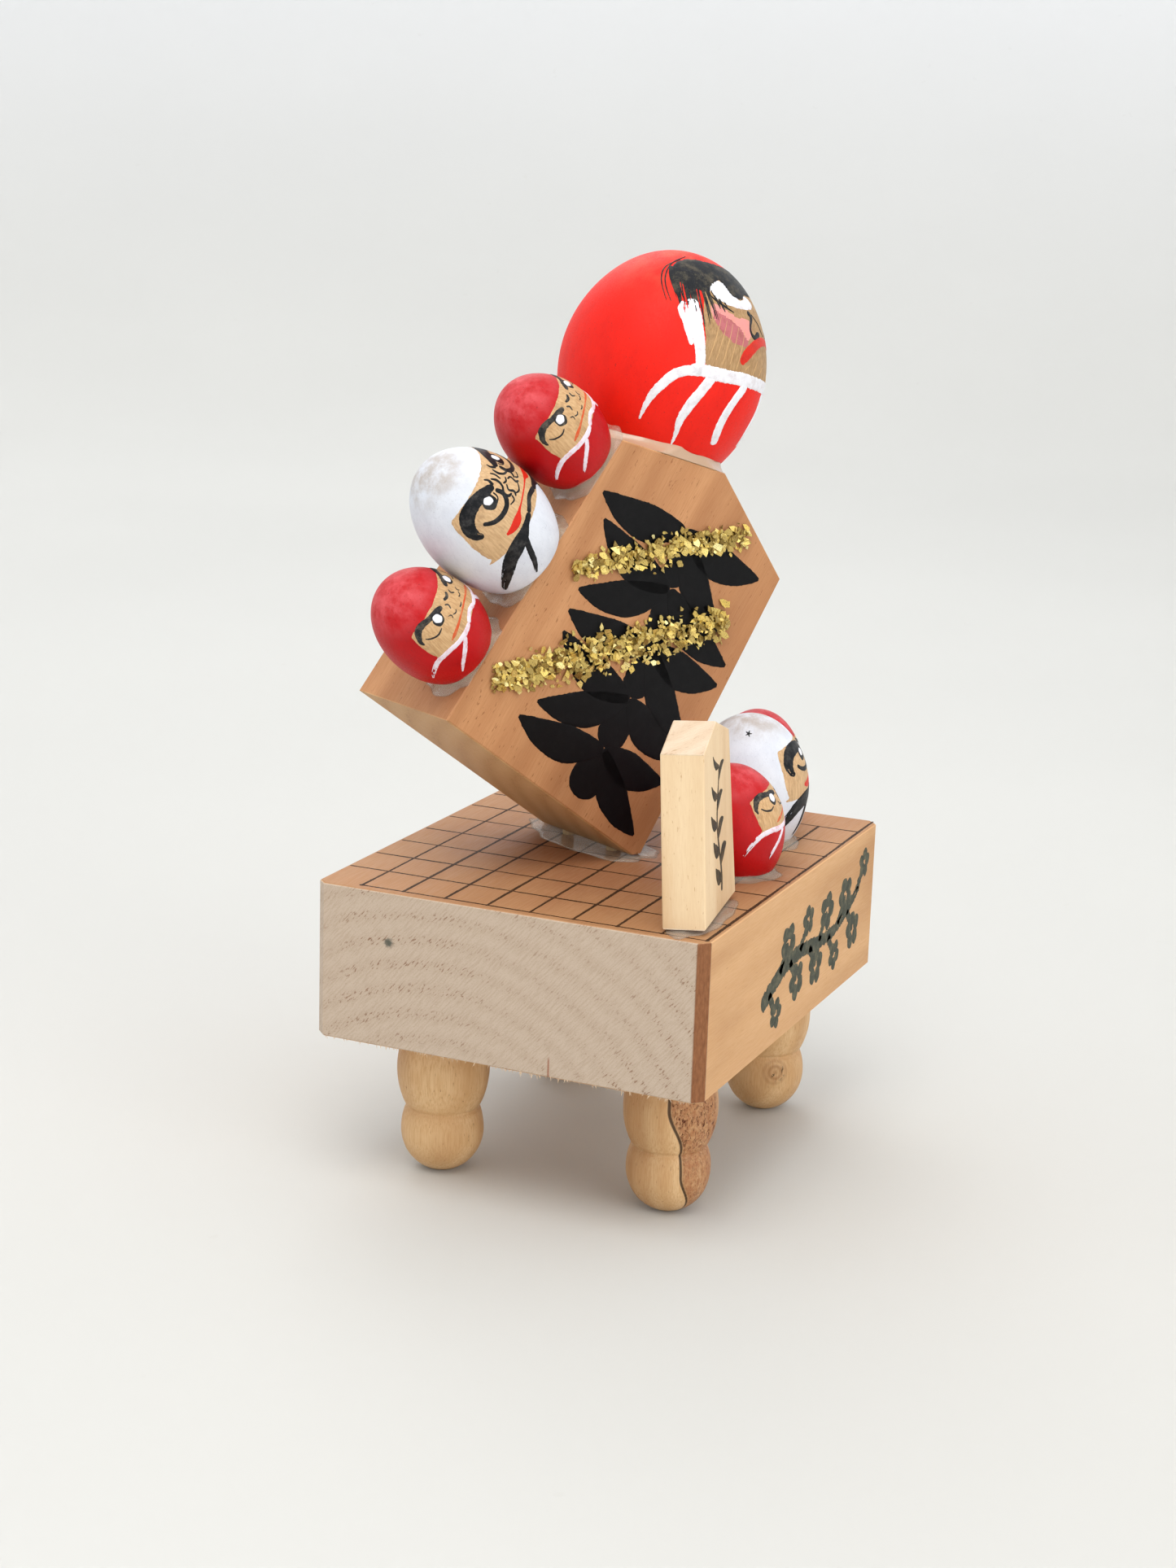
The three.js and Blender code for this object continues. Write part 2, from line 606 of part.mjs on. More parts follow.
// ---------------------------------------------------------------- small plaque and its glue
const smallProfile = [
  [-SMALL_BASE_WIDTH / 2, 0],
  [SMALL_BASE_WIDTH / 2, 0],
  [SMALL_SHOULDER_WIDTH / 2, SMALL_SHOULDER_HEIGHT],
  [0, SMALL_TIP_HEIGHT],
  [-SMALL_SHOULDER_WIDTH / 2, SMALL_SHOULDER_HEIGHT],
];
const smallDrop = (SMALL_THICKNESS / 2) * Math.sin(Math.abs(radians(SMALL_LEAN)));
const smallMatrix = moved(SMALL_X, SMALL_Y, boardTop + SMALL_GLUE + smallDrop).multiply(
  new THREE.Matrix4().makeRotationFromEuler(
    new THREE.Euler(radians(SMALL_LEAN), 0, radians(SMALL_YAW), "ZXY"),
  ),
);
const smallPlaque = new THREE.Mesh(
  upright(smallProfile, SMALL_THICKNESS, SMALL_ARRIS),
  smallPlaqueWood,
);
smallPlaque.name = "plaque_small";
smallPlaque.applyMatrix4(smallMatrix);
object.add(smallPlaque);

const smallBlob = new THREE.SphereGeometry(1, 24, 8);
smallBlob.rotateX(Math.PI / 2);
smallBlob.scale(
  (SMALL_BASE_WIDTH / 2 + SMALL_BEAD_SPREAD) * 1.06,
  (SMALL_THICKNESS / 2 + SMALL_BEAD_SPREAD) * 1.25,
  SMALL_BEAD_HEIGHT,
);
const smallFrame = moved(SMALL_X, SMALL_Y, boardTop).multiply(
  new THREE.Matrix4().makeRotationZ(radians(SMALL_YAW)),
);
const smallKeepOut = solidOf(
  upright(grown(smallProfile, GLUE_GAP), SMALL_THICKNESS + 2 * GLUE_GAP, 0),
  smallMatrix,
);
const smallBead = solidOf(smallBlob, smallFrame)
  .subtract(solidOf(belowFilm))
  .subtract(smallKeepOut)
  .intersect(boardRoom);
object.add(meshOf(smallBead, "glue_plaque_small", glueClear));

// ---------------------------------------------------------------- bands of gold flakes
// A long tapered strip with a ragged rim, lying on the large plaque's front
function flakeBand(name, start, end, width) {
  const from = new THREE.Vector2(...start);
  const run = new THREE.Vector2(...end).sub(from);
  const length = run.length();
  const way = run.clone().normalize();
  const side = new THREE.Vector2(-way.y, way.x);
  const steps = Math.round(length / 3);
  const upper = [];
  const lower = [];
  for (let i = 0; i <= steps; i++) {
    const t = i / steps;
    const body = 0.34 + 0.66 * Math.sin(Math.PI * Math.min(1, 0.12 + 0.82 * t)) ** 0.8;
    const ragged = 1 + 0.14 * Math.sin(i * 2.3) + 0.1 * Math.sin(i * 4.9 + 1);
    const half = (width / 2) * body * ragged;
    const point = from.clone().addScaledVector(way, t * length);
    upper.push([point.x + side.x * half, point.y + side.y * half]);
    lower.push([point.x - side.x * half, point.y - side.y * half]);
  }
  const strip = slab([...lower, ...upper.reverse()], BAND_THICKNESS, 0.3);
  strip.rotateX(Math.PI / 2);
  const mesh = new THREE.Mesh(strip, goldFlakes);
  mesh.name = name;
  const place = moved(0, -PLAQUE_THICKNESS / 2 - GLUE_GAP, 0);
  mesh.applyMatrix4(plaqueMatrix.clone().multiply(place));
  object.add(mesh);
}
flakeBand("flake_band_upper", BAND_UPPER_START, BAND_UPPER_END, BAND_UPPER_WIDTH);
flakeBand("flake_band_lower", BAND_LOWER_START, BAND_LOWER_END, BAND_LOWER_WIDTH);

// ---------------------------------------------------------------- the object's own frame
// Origin under the middle of the whole object, on the floor
const extent = new THREE.Box3().setFromObject(object, true);
object.position.set(
  -(extent.min.x + extent.max.x) / 2,
  -(extent.min.y + extent.max.y) / 2,
  -extent.min.z,
);
const daruma = new THREE.Group();
daruma.add(object);

export default daruma;
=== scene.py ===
"""Looks for the daruma group: painted wooden eggs and two plaques on a legged board.

Sizes are in millimetres in the board's own frame until a mesh is made: x runs from the near end,
y from the front side and z from the floor. The CAD model gives the places.
"""

import math
import random

import bpy
import numpy as np
from mathutils import Matrix, Vector, geometry


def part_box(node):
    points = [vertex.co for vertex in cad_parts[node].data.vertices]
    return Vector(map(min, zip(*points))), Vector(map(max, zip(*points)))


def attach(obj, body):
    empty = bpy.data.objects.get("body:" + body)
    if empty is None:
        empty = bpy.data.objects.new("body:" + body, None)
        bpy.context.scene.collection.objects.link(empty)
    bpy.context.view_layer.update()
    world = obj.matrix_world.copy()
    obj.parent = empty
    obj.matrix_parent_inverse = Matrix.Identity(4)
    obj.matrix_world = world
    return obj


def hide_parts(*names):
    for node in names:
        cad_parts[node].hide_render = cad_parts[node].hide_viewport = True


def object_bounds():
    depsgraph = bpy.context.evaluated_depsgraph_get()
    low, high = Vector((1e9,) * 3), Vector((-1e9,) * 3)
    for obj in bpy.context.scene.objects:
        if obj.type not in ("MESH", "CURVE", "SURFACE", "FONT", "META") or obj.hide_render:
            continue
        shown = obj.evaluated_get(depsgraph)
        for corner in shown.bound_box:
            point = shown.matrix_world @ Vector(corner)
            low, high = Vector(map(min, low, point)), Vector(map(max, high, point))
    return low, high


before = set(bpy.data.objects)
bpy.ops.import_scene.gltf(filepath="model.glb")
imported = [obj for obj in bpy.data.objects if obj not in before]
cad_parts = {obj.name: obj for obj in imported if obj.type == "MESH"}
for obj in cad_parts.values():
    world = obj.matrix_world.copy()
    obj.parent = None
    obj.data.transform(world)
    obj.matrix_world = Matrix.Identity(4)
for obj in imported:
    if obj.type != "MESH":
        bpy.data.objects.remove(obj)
cad_low, cad_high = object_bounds()

MM = 0.001

# ------------------------------------------------------------------ sizes shared with the CAD model
board_low, board_high = (np.array(corner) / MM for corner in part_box("board"))
ORIGIN = np.array([board_low[0], board_low[1], 0.0])
BOARD_LENGTH, BOARD_WIDTH = (board_high - board_low)[:2]
BOARD_BOTTOM, BOARD_TOP = board_low[2], board_high[2]
BOARD_CHAMFER = 2.0

LEG_UPPER = {"radius": 10.4, "depth": 10.5, "half": 14.9}
LEG_LOWER = {"radius": 9.3, "depth": 25.1, "up": 11.9}
LEG_FOOT_RADIUS = 2.6
LEG_TENON = {"radius": 4.5, "length": 12.0, "gap": 0.3, "ease": 0.8}
LEG_GROOVE = {"depth": 0.35, "width": 0.4}
LEG_DENT = 0.10

PLAQUE_BASE, PLAQUE_SHOULDER = 66.7, 59.4
PLAQUE_SHOULDER_HEIGHT, PLAQUE_TIP = 72.3, 82.3
PLAQUE_THICKNESS = 33.0
PLAQUE_ROLL, PLAQUE_YAW, PLAQUE_LEAN = 35.66, -27.43, 0.4
PLAQUE_FOOT = (60.15, 52.43)
FOOT_GLUE, FOOT_FLAT = 0.9, 1.4
POOL = {"width": 21.0, "overrun": 5.0, "height": 3.4}

SMALL_BASE, SMALL_SHOULDER = 30.0, 25.0
SMALL_SHOULDER_HEIGHT, SMALL_TIP = 36.5, 40.8
SMALL_THICKNESS = 9.2
SMALL_YAW, SMALL_LEAN = 9.46, -3.9
SMALL_PLACE = (18.64, 9.3)
SMALL_GLUE = 0.7

GRID_START = (2.4, 1.1)
GRID_PITCH = (12.07, 10.0)
GRID_CELLS = 8


def unit(v):
    v = np.asarray(v, float)
    return v / np.linalg.norm(v, axis=-1, keepdims=True)


def turned(yaw, lean, roll):
    """Columns are a plaque's own ways: across its width, through its thickness, up its height."""
    turn = (
        Matrix.Rotation(math.radians(yaw), 3, "Z")
        @ Matrix.Rotation(math.radians(lean), 3, "X")
        @ Matrix.Rotation(math.radians(roll), 3, "Y")
    )
    return np.array(turn)


class Place:
    """An origin and three unit ways, the columns of axes, in the board's frame."""

    def __init__(self, origin, axes):
        self.origin = np.asarray(origin, float)
        self.axes = np.asarray(axes, float)

    def out(self, local):
        return self.origin + np.asarray(local, float) @ self.axes.T

    def into(self, points):
        return (np.asarray(points, float) - self.origin) @ self.axes


plaque_axes = turned(PLAQUE_YAW, PLAQUE_LEAN, PLAQUE_ROLL)
plaque_corner = plaque_axes @ np.array([PLAQUE_BASE / 2, 0, 0])
PLAQUE = Place(
    np.array([*PLAQUE_FOOT, BOARD_TOP + FOOT_GLUE - FOOT_FLAT]) - plaque_corner, plaque_axes
)
small_drop = SMALL_THICKNESS / 2 * math.sin(abs(math.radians(SMALL_LEAN)))
SMALL = Place(
    [*SMALL_PLACE, BOARD_TOP + SMALL_GLUE + small_drop], turned(SMALL_YAW, SMALL_LEAN, 0)
)
BOARD = Place([0, 0, 0], np.eye(3))


def seat_on(side_start, run, along, across):
    """A frame on one of the large plaque's edge faces: x up the face, z out of it."""
    ahead = unit(run)
    spot = np.array(side_start) + ahead * along
    x = plaque_axes @ np.array([ahead[0], 0, ahead[1]])
    z = plaque_axes @ np.array([-ahead[1], 0, ahead[0]])
    return Place(PLAQUE.out([spot[0], across, spot[1]]), np.stack([x, np.cross(z, x), z], 1))


def flank(along, across):
    run = ((PLAQUE_BASE - PLAQUE_SHOULDER) / 2, PLAQUE_SHOULDER_HEIGHT)
    return seat_on((-PLAQUE_BASE / 2, 0), run, along, across)


def facet(along, across):
    run = (PLAQUE_SHOULDER / 2, PLAQUE_TIP - PLAQUE_SHOULDER_HEIGHT)
    return seat_on((-PLAQUE_SHOULDER / 2, PLAQUE_SHOULDER_HEIGHT), run, along, across)


def on_board(x, y):
    return Place([x, y, BOARD_TOP], np.eye(3))


# ------------------------------------------------------------------ small tools
def lattice(i, j, seed):
    wave = np.sin(i * 127.1 + j * 311.7 + seed * 74.7) * 43758.5453
    return wave - np.floor(wave)


def value_noise(x, y, seed=0):
    """Smooth noise from 0 to 1 with one cell to each unit."""
    x, y = np.broadcast_arrays(np.asarray(x, float), np.asarray(y, float))
    i, j = np.floor(x), np.floor(y)
    f, g = x - i, y - j
    f, g = f * f * (3 - 2 * f), g * g * (3 - 2 * g)
    low = lattice(i, j, seed) * (1 - f) + lattice(i + 1, j, seed) * f
    high = lattice(i, j + 1, seed) * (1 - f) + lattice(i + 1, j + 1, seed) * f
    return low * (1 - g) + high * g


def through(knots, steps=14, closed=False):
    """A smooth line through knots of any width, as a Catmull-Rom curve."""
    k = np.asarray(knots, float)
    k = np.concatenate([k[-1:], k, k[:2]] if closed else [2 * k[:1] - k[1:2], k, 2 * k[-1:] - k[-2:-1]])
    t = np.linspace(0, 1, steps, endpoint=False)[:, None]
    parts = []
    for a, b, c, d in zip(k, k[1:], k[2:], k[3:]):
        parts.append(
            0.5 * (2 * b + (c - a) * t + (2 * a - 5 * b + 4 * c - d) * t**2 + (3 * b - a - 3 * c + d) * t**3)
        )
    if not closed:
        parts.append(k[-2:-1])
    return np.concatenate(parts)


def grid_faces(rows, columns, wrap=False, close=False):
    """Quads over rows by columns of points; wrap joins the last column to the first, close the rows."""
    faces = []
    for r in range(rows if close else rows - 1):
        a, b = r * columns, (r + 1) % rows * columns
        for c in range(columns if wrap else columns - 1):
            d = (c + 1) % columns
            faces.append((a + c, a + d, b + d, b + c))
    return faces


def disc_faces(rings, columns):
    """Faces of a disc: a fan round its first point, then ring after ring of quads."""
    faces = [(0, 1 + c, 1 + (c + 1) % columns) for c in range(columns)]
    for k in range(rings - 1):
        a, b = 1 + k * columns, 1 + (k + 1) * columns
        faces += [(a + c, b + c, b + (c + 1) % columns, a + (c + 1) % columns) for c in range(columns)]
    return faces


def piece(name, points, faces, material, smooth=True, replaces=()):
    """A mesh piece from points in mm in the board's frame, riding on the one body."""
    mesh = bpy.data.meshes.new(name)
    placed = (np.asarray(points, float) + ORIGIN) * MM
    mesh.from_pydata(placed.tolist(), [], [tuple(int(i) for i in f) for f in faces])
    mesh.polygons.foreach_set("use_smooth", [smooth] * len(mesh.polygons))
    mesh.materials.append(material)
    thing = bpy.data.objects.new(name, mesh)
    bpy.context.scene.collection.objects.link(thing)
    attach(thing, "root")
    for node in replaces:
        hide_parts(node)


class Flat:
    """A flat face with u and v in mm along it."""

    def __init__(self, origin, u_way, v_way):
        self.origin, self.u, self.v = (np.asarray(a, float) for a in (origin, u_way, v_way))
        self.out = np.cross(self.u, self.v)

    def point(self, u, v):
        return self.origin + np.multiply.outer(u, self.u) + np.multiply.outer(v, self.v)

    def normal(self, points):
        return np.broadcast_to(self.out, np.shape(points))

    def place(self, points, lift):
        return points + np.multiply.outer(lift, self.out)

    def plane(self, u, v):
        return np.stack([u, v], -1)

    def unplane(self, xy):
        return xy[:, 0], xy[:, 1]


EGG_SWELL = 0.006
FLAT_ACROSS, FLAT_UP = 0.85, 1.1


class Egg:
    """An egg of wood: a long round body on a seat, with its face turned to one side.

    Its chart is the angle from the middle of the face, in degrees, and the height from -1 to 1. The skin
    swells in and out by EGG_SWELL of the radius. FLAT_ACROSS and FLAT_UP spread the chart out for patches.
    """

    def __init__(self, name, seat, radius, half, depth, glue, face, seed, tilt=(0, 0)):
        self.name, self.seat, self.radius, self.half = name, seat, radius, half
        self.glue, self.face, self.seed, self.depth = glue, face, seed, depth
        axis = Vector((*tilt, 1)).normalized()
        lean = np.array(Vector((0, 0, 1)).rotation_difference(axis).to_matrix())
        self.axes = seat.axes @ lean
        self.centre = seat.out([0, 0, glue + depth])
        self.size = np.array([radius, radius, half])

    def point(self, angle, height):
        angle, height = np.broadcast_arrays(np.asarray(angle, float), np.asarray(height, float))
        turn = np.radians(self.face + angle)
        ring = self.radius * np.sqrt(np.clip(1 - height**2, 0, 1))
        local = np.stack([ring * np.cos(turn), ring * np.sin(turn), self.half * height], -1)
        return self.centre + local @ self.axes.T

    def _local(self, points):
        local = (points - self.centre) @ self.axes
        return local / np.linalg.norm(local / self.size, axis=-1, keepdims=True)

    def normal(self, points):
        return unit(self._local(points) / self.size**2) @ self.axes.T

    def place(self, points, lift):
        local = self._local(points)
        d = unit(local)
        s = self.seed
        swell = np.sin(3.1 * d[..., 0] + s) * np.sin(2.6 * d[..., 2] + 2 * s)
        swell = swell + 0.5 * np.sin(5.3 * d[..., 1] + s) * np.sin(4.7 * d[..., 2] - s)
        out = unit(local / self.size**2)
        local = local + out * (np.asarray(lift) + EGG_SWELL * self.radius * swell)[..., None]
        return self.centre + local @ self.axes.T

    def plane(self, angle, height):
        return np.stack([np.radians(angle) * self.radius * FLAT_ACROSS, height * self.half * FLAT_UP], -1)

    def unplane(self, xy):
        return np.degrees(xy[:, 0] / self.radius / FLAT_ACROSS), xy[:, 1] / self.half / FLAT_UP


RIM_LIFT = 0.012


class Paint:
    """Strokes and patches of one colour, made into one piece, with their rims down at RIM_LIFT."""

    def __init__(self, chart):
        self.chart, self.points, self.faces, self.count = chart, [], [], 0

    def take(self, points, faces):
        self.points.append(points)
        self.faces += [tuple(i + self.count for i in f) for f in faces]
        self.count += len(points)

    def make(self, name, material):
        piece(name, np.concatenate(self.points), self.faces, material)

    def stroke(self, knots, lift=0.1, cell=0.25, rag=0.05, dry=(0, 0), blunt=(True, True), seed=0):
        """A brush stroke through knots of (u, v, width in mm), with its rim down on the surface.

        dry says how far the brush has run out of paint at the start and at the end.
        """
        chart = self.chart
        line = through(knots)
        centre = chart.point(line[:, 0], line[:, 1])
        run = np.concatenate([[0], np.cumsum(np.linalg.norm(np.diff(centre, axis=0), axis=1))])
        rows = max(5, int(run[-1] / cell) + 1)
        s = np.linspace(0, run[-1], rows)
        centre = np.stack([np.interp(s, run, centre[:, i]) for i in range(3)], 1)
        centre = chart.place(centre, np.zeros(rows))
        half = np.maximum(np.interp(s, run, line[:, 2]), 0.06) / 2
        for end, left in ((0, s), (1, run[-1] - s)):
            reach = half[0] if end == 0 else half[-1]
            if blunt[end]:
                half = half * np.sqrt(np.clip(1 - (1 - np.clip(left / reach, 0, 1)) ** 2, 0.02, 1))
        side = unit(np.cross(chart.normal(centre), unit(np.gradient(centre, axis=0))))
        columns = max(5, int(2 * half.max() / cell) + 2)
        across = np.linspace(-1, 1, columns)
        edge = []
        for k in (1, 9):
            uneven = value_noise(s * 1.6, k, seed) + value_noise(s * 5, k, seed + 3) - 1
            edge.append(1 + rag * uneven / half)
        wide = np.where(across[None] < 0, edge[0][:, None], edge[1][:, None]).clip(0.3, 1.7)
        offset = across[None] * half[:, None] * wide
        points = centre[:, None] + side[:, None] * offset[..., None]
        rim = np.minimum(1, (1 - np.abs(across)) * columns / 2)[None] * np.ones((rows, 1))
        rim[0] = rim[-1] = 0
        points = chart.place(points, RIM_LIFT + (lift - RIM_LIFT) * rim).reshape(-1, 3)
        faces = grid_faces(rows, columns)
        if max(dry) > 0:
            share = s / run[-1]
            worn = dry[0] * (1 - share) ** 2 + dry[1] * share**2.2
            hair = value_noise(s[:, None] * 0.22, offset * 3.4, seed + 5)
            hair = 0.6 * hair + 0.4 * value_noise(s[:, None] * 0.7, offset * 7, seed + 6)
            gone = (hair < worn[:, None]).ravel()
            faces = [f for f in faces if not (gone[f[0]] and gone[f[2]])]
        self.take(points, faces)

    def patch(self, outline, lift=0.05, cell=0.5, rag=0.04, seed=0, steps=10):
        """A filled outline, smooth through its knots, or with sharp corners if steps is 1."""
        chart = self.chart
        loop = through(outline, steps, closed=True) if steps > 1 else np.asarray(outline, float)
        loop = chart.plane(loop[:, 0], loop[:, 1])
        closed = np.concatenate([loop, loop[:1]])
        run = np.concatenate([[0], np.cumsum(np.linalg.norm(np.diff(closed, axis=0), axis=1))])
        s = np.linspace(0, run[-1], max(8, int(run[-1] / cell * 2)), endpoint=False)
        rim = np.stack([np.interp(s, run, closed[:, i]) for i in range(2)], 1)
        ahead = unit(np.roll(rim, -1, 0) - np.roll(rim, 1, 0))
        wobble = rag * (2 * value_noise(s * 1.3, 4, seed) + value_noise(s * 4, 7, seed) - 1.5)
        rim = rim + np.stack([-ahead[:, 1], ahead[:, 0]], 1) * wobble[:, None]
        low, high = rim.min(0), rim.max(0)
        gx, gy = np.meshgrid(np.arange(low[0], high[0], cell), np.arange(low[1], high[1], cell))
        inner = np.stack([gx.ravel(), gy.ravel()], 1)
        a, b = rim, np.roll(rim, -1, 0)
        spans = (a[:, 1][:, None] > inner[:, 1]) != (b[:, 1][:, None] > inner[:, 1])
        rise = (b[:, 1] - a[:, 1])[:, None] + 1e-12
        cut = a[:, 0][:, None] + (inner[:, 1] - a[:, 1][:, None]) * (b[:, 0] - a[:, 0])[:, None] / rise
        inside = ((spans & (inner[:, 0] < cut)).sum(0) % 2).astype(bool)
        gap = np.sqrt(((inner[:, None] - rim[None, ::2]) ** 2).sum(-1)).min(1)
        inner = inner[inside & (gap > 0.35 * cell)]
        every = np.concatenate([rim, inner])
        edges = [(i, (i + 1) % len(rim)) for i in range(len(rim))]
        made = geometry.delaunay_2d_cdt([Vector(p) for p in every], edges, [], 1, 1e-6)
        xy = np.array([tuple(p) for p in made[0]])
        on_rim = np.sqrt(((xy[:, None] - rim[None]) ** 2).sum(-1)).min(1) < 1e-4
        points = chart.point(*chart.unplane(xy))
        points = chart.place(points, np.where(on_rim, RIM_LIFT, lift))
        out = chart.normal(points[:1])[0]
        faces = [tuple(f) for f in made[2]]
        if faces:
            p, q, r = (points[faces[0][i]] for i in range(3))
            if np.dot(np.cross(q - p, r - p), out) < 0:
                faces = [f[::-1] for f in faces]
        self.take(points, faces)

    def dab(self, u, v, radius, lift=0.16, long=1.0, rings=6, columns=36, seed=0):
        """A round drop of paint, domed, with a slightly uneven rim; long stretches it sideways."""
        chart = self.chart
        centre = chart.place(chart.point(np.array([u]), np.array([v])), np.zeros(1))
        out = chart.normal(centre)[0]
        hint = np.array([0, 0, 1.0]) if abs(out[2]) < 0.95 else np.array([1.0, 0, 0])
        x = unit(np.cross(hint, out))
        y = np.cross(out, x)
        around = np.linspace(0, 2 * math.pi, columns, endpoint=False)
        rim = radius * (1 + 0.07 * np.sin(2 * around + seed) + 0.04 * np.sin(5 * around + 2 * seed))
        points, heights = [centre], [np.array([lift])]
        for k in range(1, rings + 1):
            share = k / rings
            px, py = share * rim * np.cos(around) * long, share * rim * np.sin(around)
            points.append(centre + px[:, None] * x + py[:, None] * y)
            heights.append(np.full(columns, RIM_LIFT + (lift - RIM_LIFT) * math.sqrt(1 - share**2)))
        points = chart.place(np.concatenate(points), np.concatenate(heights))
        self.take(points, disc_faces(rings, columns))


# ------------------------------------------------------------------ materials
def tint(red, green, blue):
    """Linear colour from 0-255 screen values."""
    parts = [c / 255 for c in (red, green, blue)]
    linear = [c / 12.92 if c <= 0.04045 else ((c + 0.055) / 1.055) ** 2.4 for c in parts]
    return (*linear, 1.0)


# a Mix node has sockets of one name for each kind of value: these are its factor and its colours
MIX_COLOUR_INPUTS, MIX_COLOUR_OUTPUT = (0, 6, 7), 2


WOOD_SHINE, PAINT_SHINE, MARK_SHINE, GLUE_SHINE = 0.28, 0.25, 0.15, 0.8


class Graph:
    """One material's nodes. Its functions take numbers, colours or the outputs of other nodes."""

    def __init__(self, name):
        self.material = bpy.data.materials.new(name)
        self.material.use_nodes = True
        self.tree = self.material.node_tree
        self.shader = self.tree.nodes["Principled BSDF"]

    def put(self, kind, inputs=None, **settings):
        node = self.tree.nodes.new("ShaderNode" + kind)
        for key, value in settings.items():
            setattr(node, key, value)
        for key, value in (inputs or {}).items():
            self.feed(node.inputs[key], value)
        return node

    def feed(self, socket, value):
        if isinstance(value, bpy.types.NodeSocket):
            self.tree.links.new(value, socket)
        else:
            socket.default_value = value

    def set(self, **inputs):
        for key, value in inputs.items():
            self.feed(self.shader.inputs[key.replace("_", " ")], value)

    def local(self, place, axes=None):
        """Coordinates in mm in a place's own frame."""
        axes = place.axes if axes is None else axes
        turn = Matrix(axes.tolist()).to_euler("XYZ")
        origin = (place.origin + ORIGIN) * MM
        here = self.put("TexCoord").outputs["Object"]
        inputs = {"Vector": here, "Location": tuple(origin), "Rotation": turn, "Scale": (MM, MM, MM)}
        return self.put("Mapping", inputs, vector_type="TEXTURE").outputs[0]

    def scaled(self, vector, scale, move=(0, 0, 0)):
        inputs = {"Vector": vector, "Scale": scale, "Location": move}
        return self.put("Mapping", inputs).outputs[0]

    def noise(self, vector, scale=1.0, detail=3.0, rough=0.55, warp=0.0):
        """Noise at one scale, or at a scale for each way."""
        if isinstance(scale, tuple):
            vector, scale = self.scaled(vector, scale), 1.0
        inputs = {"Vector": vector, "Scale": scale, "Detail": detail, "Roughness": rough, "Distortion": warp}
        return self.put("TexNoise", inputs).outputs["Fac"]

    def band(self, value, low, high, to=(0.0, 1.0)):
        inputs = {"Value": value, "From Min": low, "From Max": high, "To Min": to[0], "To Max": to[1]}
        return self.put("MapRange", inputs, interpolation_type="SMOOTHSTEP").outputs[0]

    def math(self, operation, a, b=0.0, c=0.0):
        return self.put("Math", {0: a, 1: b, 2: c}, operation=operation).outputs[0]

    def times(self, product, *values):
        for value in values:
            product = self.math("MULTIPLY", product, value)
        return product

    def plus(self, a, b):
        return self.math("ADD", a, b)

    def minus(self, a, b):
        return self.math("SUBTRACT", a, b)

    def mix(self, share, a, b):
        node = self.put("Mix", data_type="RGBA")
        for key, value in zip(MIX_COLOUR_INPUTS, (share, a, b)):
            self.feed(node.inputs[key], value)
        return node.outputs[MIX_COLOUR_OUTPUT]

    def over(self, colour, second, *shares):
        """A colour with a second one laid over it, as strongly as the product of the shares."""
        return self.mix(self.times(*shares), colour, second)

    def split(self, vector):
        return self.put("SeparateXYZ", {"Vector": vector}).outputs

    def distance(self, a, b):
        return self.put("VectorMath", {0: a, 1: b}, operation="DISTANCE").outputs["Value"]

    def bump(self, height, strength, distance):
        """Relief from a height, with its full depth as a distance in mm."""
        inputs = {"Height": height, "Strength": strength, "Distance": distance * MM}
        self.set(Normal=self.put("Bump", inputs).outputs[0])


SAW_SLANT = 0.85


def sawn_end(g, here, rings, tones, ring_share):
    """Colour and height of wood cut across its grain: rings, slanting saw marks and rows of pores."""
    light, middle, dark = tones
    flat = g.noise(here, 3.4, 2.0, 0.7)
    saw = g.noise(here, (0.35, 3.2, 3.2), 2.0)
    skew = g.put("VectorRotate", {"Vector": here, "Angle": SAW_SLANT}, rotation_type="Z_AXIS").outputs[0]
    scratch = g.noise(skew, (0.3, 2.7, 1.0), 2.0, 0.5)
    pores = g.band(g.noise(g.scaled(skew, (0.75, 2.6, 1.0), (3, 7, 0)), 1.0, 2.0, 0.5), 0.56, 0.66)
    rows = g.math("MULTIPLY_ADD", g.band(rings, 0.5, 0.9), 0.85, 0.1)
    far = g.band(g.noise(here, (0.03, 0.03, 0.03), 1.0), 0.4, 0.6)
    colour = g.over(light, middle, rings, ring_share)
    colour = g.over(colour, middle, g.band(scratch, 0.4, 0.7), 0.42)
    colour = g.over(colour, dark, g.band(flat, 0.5, 0.8), 0.3)
    colour = g.over(colour, dark, pores, rows, g.math("MULTIPLY_ADD", far, 0.5, 0.3))
    height = g.plus(g.times(scratch, 0.8), g.times(flat, 0.6))
    return colour, g.plus(height, g.times(saw, 0.2))


